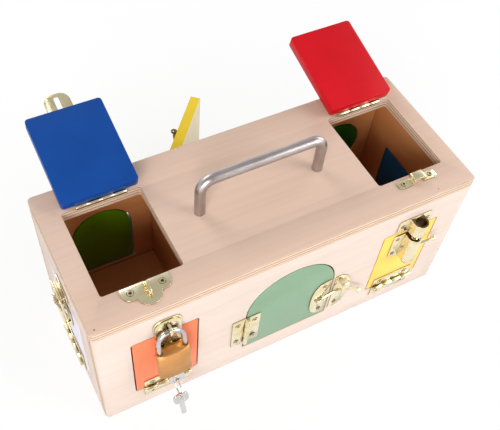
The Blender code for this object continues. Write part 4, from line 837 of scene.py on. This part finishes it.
dressed("back_panel", WALL_EASE, [birch("back_panel_birch", "back_panel", "Y", "X"), bright_brass,
                                  birch("back_panel_inner_birch", "back_panel", "Y", "X", SHADED_INSIDE)],
        brass_beyond(1, BOX_BACK))
rear_pin, rear_open = pin_of("rear_door_swing"), -joint_named("rear_door_swing")["range_deg"][0]
rear_out, rear_face = Matrix.Rotation(radians(rear_open), 3, "Z") @ Vector((0, 1, 0)), BOX_BACK - rear_pin.y


def rear_finish(centre, normal):
    """Picks brass for the hinge's leaf, cream for the inner face, and yellow for the rest."""
    if (centre - rear_pin).dot(rear_out) > rear_face + PROUD:
        return 1
    return 2 if normal.dot(rear_out) < -0.9 else 0


dressed("rear_yellow_door", DOOR_EASE,
        [paint("rear_yellow_paint", (0.960, 0.690, 0.045)), bright_brass,
         paint("cream_paint", (0.97, 0.86, 0.54))], rear_finish)
# How far a leaf that is let into the wood still stands out of it.
LET_IN_OUT = 0.0008
on_wall, on_door = [[(x, BOX_BACK + LET_IN_OUT, z) for z in pair(rear_pin.z, SCREW_SPREAD)]
                    for x in pair(rear_pin.x, LEAF_SCREW)]
screws("rear_hinge_screws", "box", (0, 1, 0), on_wall, seed=28)
screws("rear_leaf_screws", "rear_door", *swung("rear_door_swing", rear_open, (0, 1, 0), on_door), seed=29)


# Gate hook of the wide rear door. A bent wire hook hangs in a screw eye on the door, and drops into a
# second eye in the back wall. Both eyes and the hook are aged brass wire.
dark_brass = metal("dark_brass", (0.22, 0.145, 0.060), (0.36, 0.25, 0.105), 0.28, 0.44)
for node in ("gate_hook_eye", "gate_hook"):
    dressed(node, 0, [dark_brass], angle=62)
eye_x, eye_radius, eye_wire, eye_shank, thread = 0.0727, 0.0032, 0.0022, 0.0028, 0.002
eye_middle = Vector((eye_x, BOX_BACK + eye_shank + eye_radius, pin_of("gate_hook_swing").z))
rod("frame_eye_ring", "box", circle(eye_middle, eye_radius, corners=28), width=eye_wire, bend=0.0, steps=1,
    sides=12, finish=dark_brass, slot="dark_brass", closed=True)
rod("frame_eye_shank", "box",
    [eye_middle - Vector((0, eye_radius, 0)), (eye_x, BOX_BACK - thread, eye_middle.z)],
    width=eye_wire, bend=0.0, steps=1, sides=12, finish=dark_brass, slot="dark_brass")


# Small rear doors. One has a round head and one is a disc; both are dark green and hang on short
# hinges that are let into the wood. A brass turn button on one screw holds each of them shut.
BUTTON_EASE, SHORT_SPREAD, SHORT_SCREW = 0.0002, 0.0068, 0.0046


def leaf_or_paint(axis, wall):
    """Picks the brass for a let-in leaf that stands out past the door's outer plane."""
    return lambda centre, normal: int(centre[axis] > wall + PROUD)


for node, finish in (("rear_arch_door", paint("olive_green_paint", (0.108, 0.265, 0.002))),
                     ("rear_round_door", paint("dark_green_paint", (0.015, 0.115, 0.006)))):
    dressed(node, DOOR_EASE, [finish, bright_brass], leaf_or_paint(1, BOX_BACK))
for node, body, seed in (("rear_arch_turn_button", "rear_arch_button", 25),
                         ("rear_round_turn_button", "rear_round_button", 26)):
    dressed(node, BUTTON_EASE, [bright_brass])
    low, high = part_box(node)
    middle = (low + high) / 2
    screws(node + "_screw", body, (0, 1, 0), [(middle.x, high.y, middle.z)], seed=seed)
for name, into_door, seed in (("rear_arch", LEAF_SCREW, 30), ("rear_round", -LEAF_SCREW, 32)):
    pin = pin_of(name + "_door_swing")
    for part, body, x in (("frame", "box", pin.x - into_door), ("door", name + "_door", pin.x + into_door)):
        screws("%s_%s_screws" % (name, part), body, (0, 1, 0),
               [(x, BOX_BACK + LET_IN_OUT, z) for z in pair(pin.z, SHORT_SPREAD)], SHORT_SCREW,
               seed + (part == "door"))


# Right end. Its square door is cut from ply, sprayed dark blue and hung on a short hinge that is let into
# the wood. A brass turn button on one screw holds it shut.
dressed("right_end_panel", WALL_EASE,
        [birch("right_end_panel_birch", "right_end_panel", "X", "Y"), bright_brass,
         birch("right_end_inner_birch", "right_end_panel", "X", "Y", SHADED_INSIDE)],
        brass_beyond(0, BOX_RIGHT))
dressed("right_end_door", DOOR_EASE, [paint("dark_blue_paint", (0.014, 0.125, 0.330)), bright_brass],
        leaf_or_paint(0, BOX_RIGHT))
dressed("right_end_turn_button", BUTTON_EASE, [bright_brass])
low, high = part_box("right_end_turn_button")
middle = (low + high) / 2
screws("right_end_button_screw", "right_end_button", (1, 0, 0), [(high.x, middle.y, middle.z)], seed=27)
pin = pin_of("right_end_door_swing")
for part, body, y, seed in (("frame", "box", pin.y + LEAF_SCREW, 34),
                            ("door", "right_end_door", pin.y - LEAF_SCREW, 35)):
    screws("right_end_%s_screws" % part, body, (1, 0, 0),
           [(BOX_RIGHT + LET_IN_OUT, y, z) for z in pair(pin.z, SHORT_SPREAD)], SHORT_SCREW, seed)
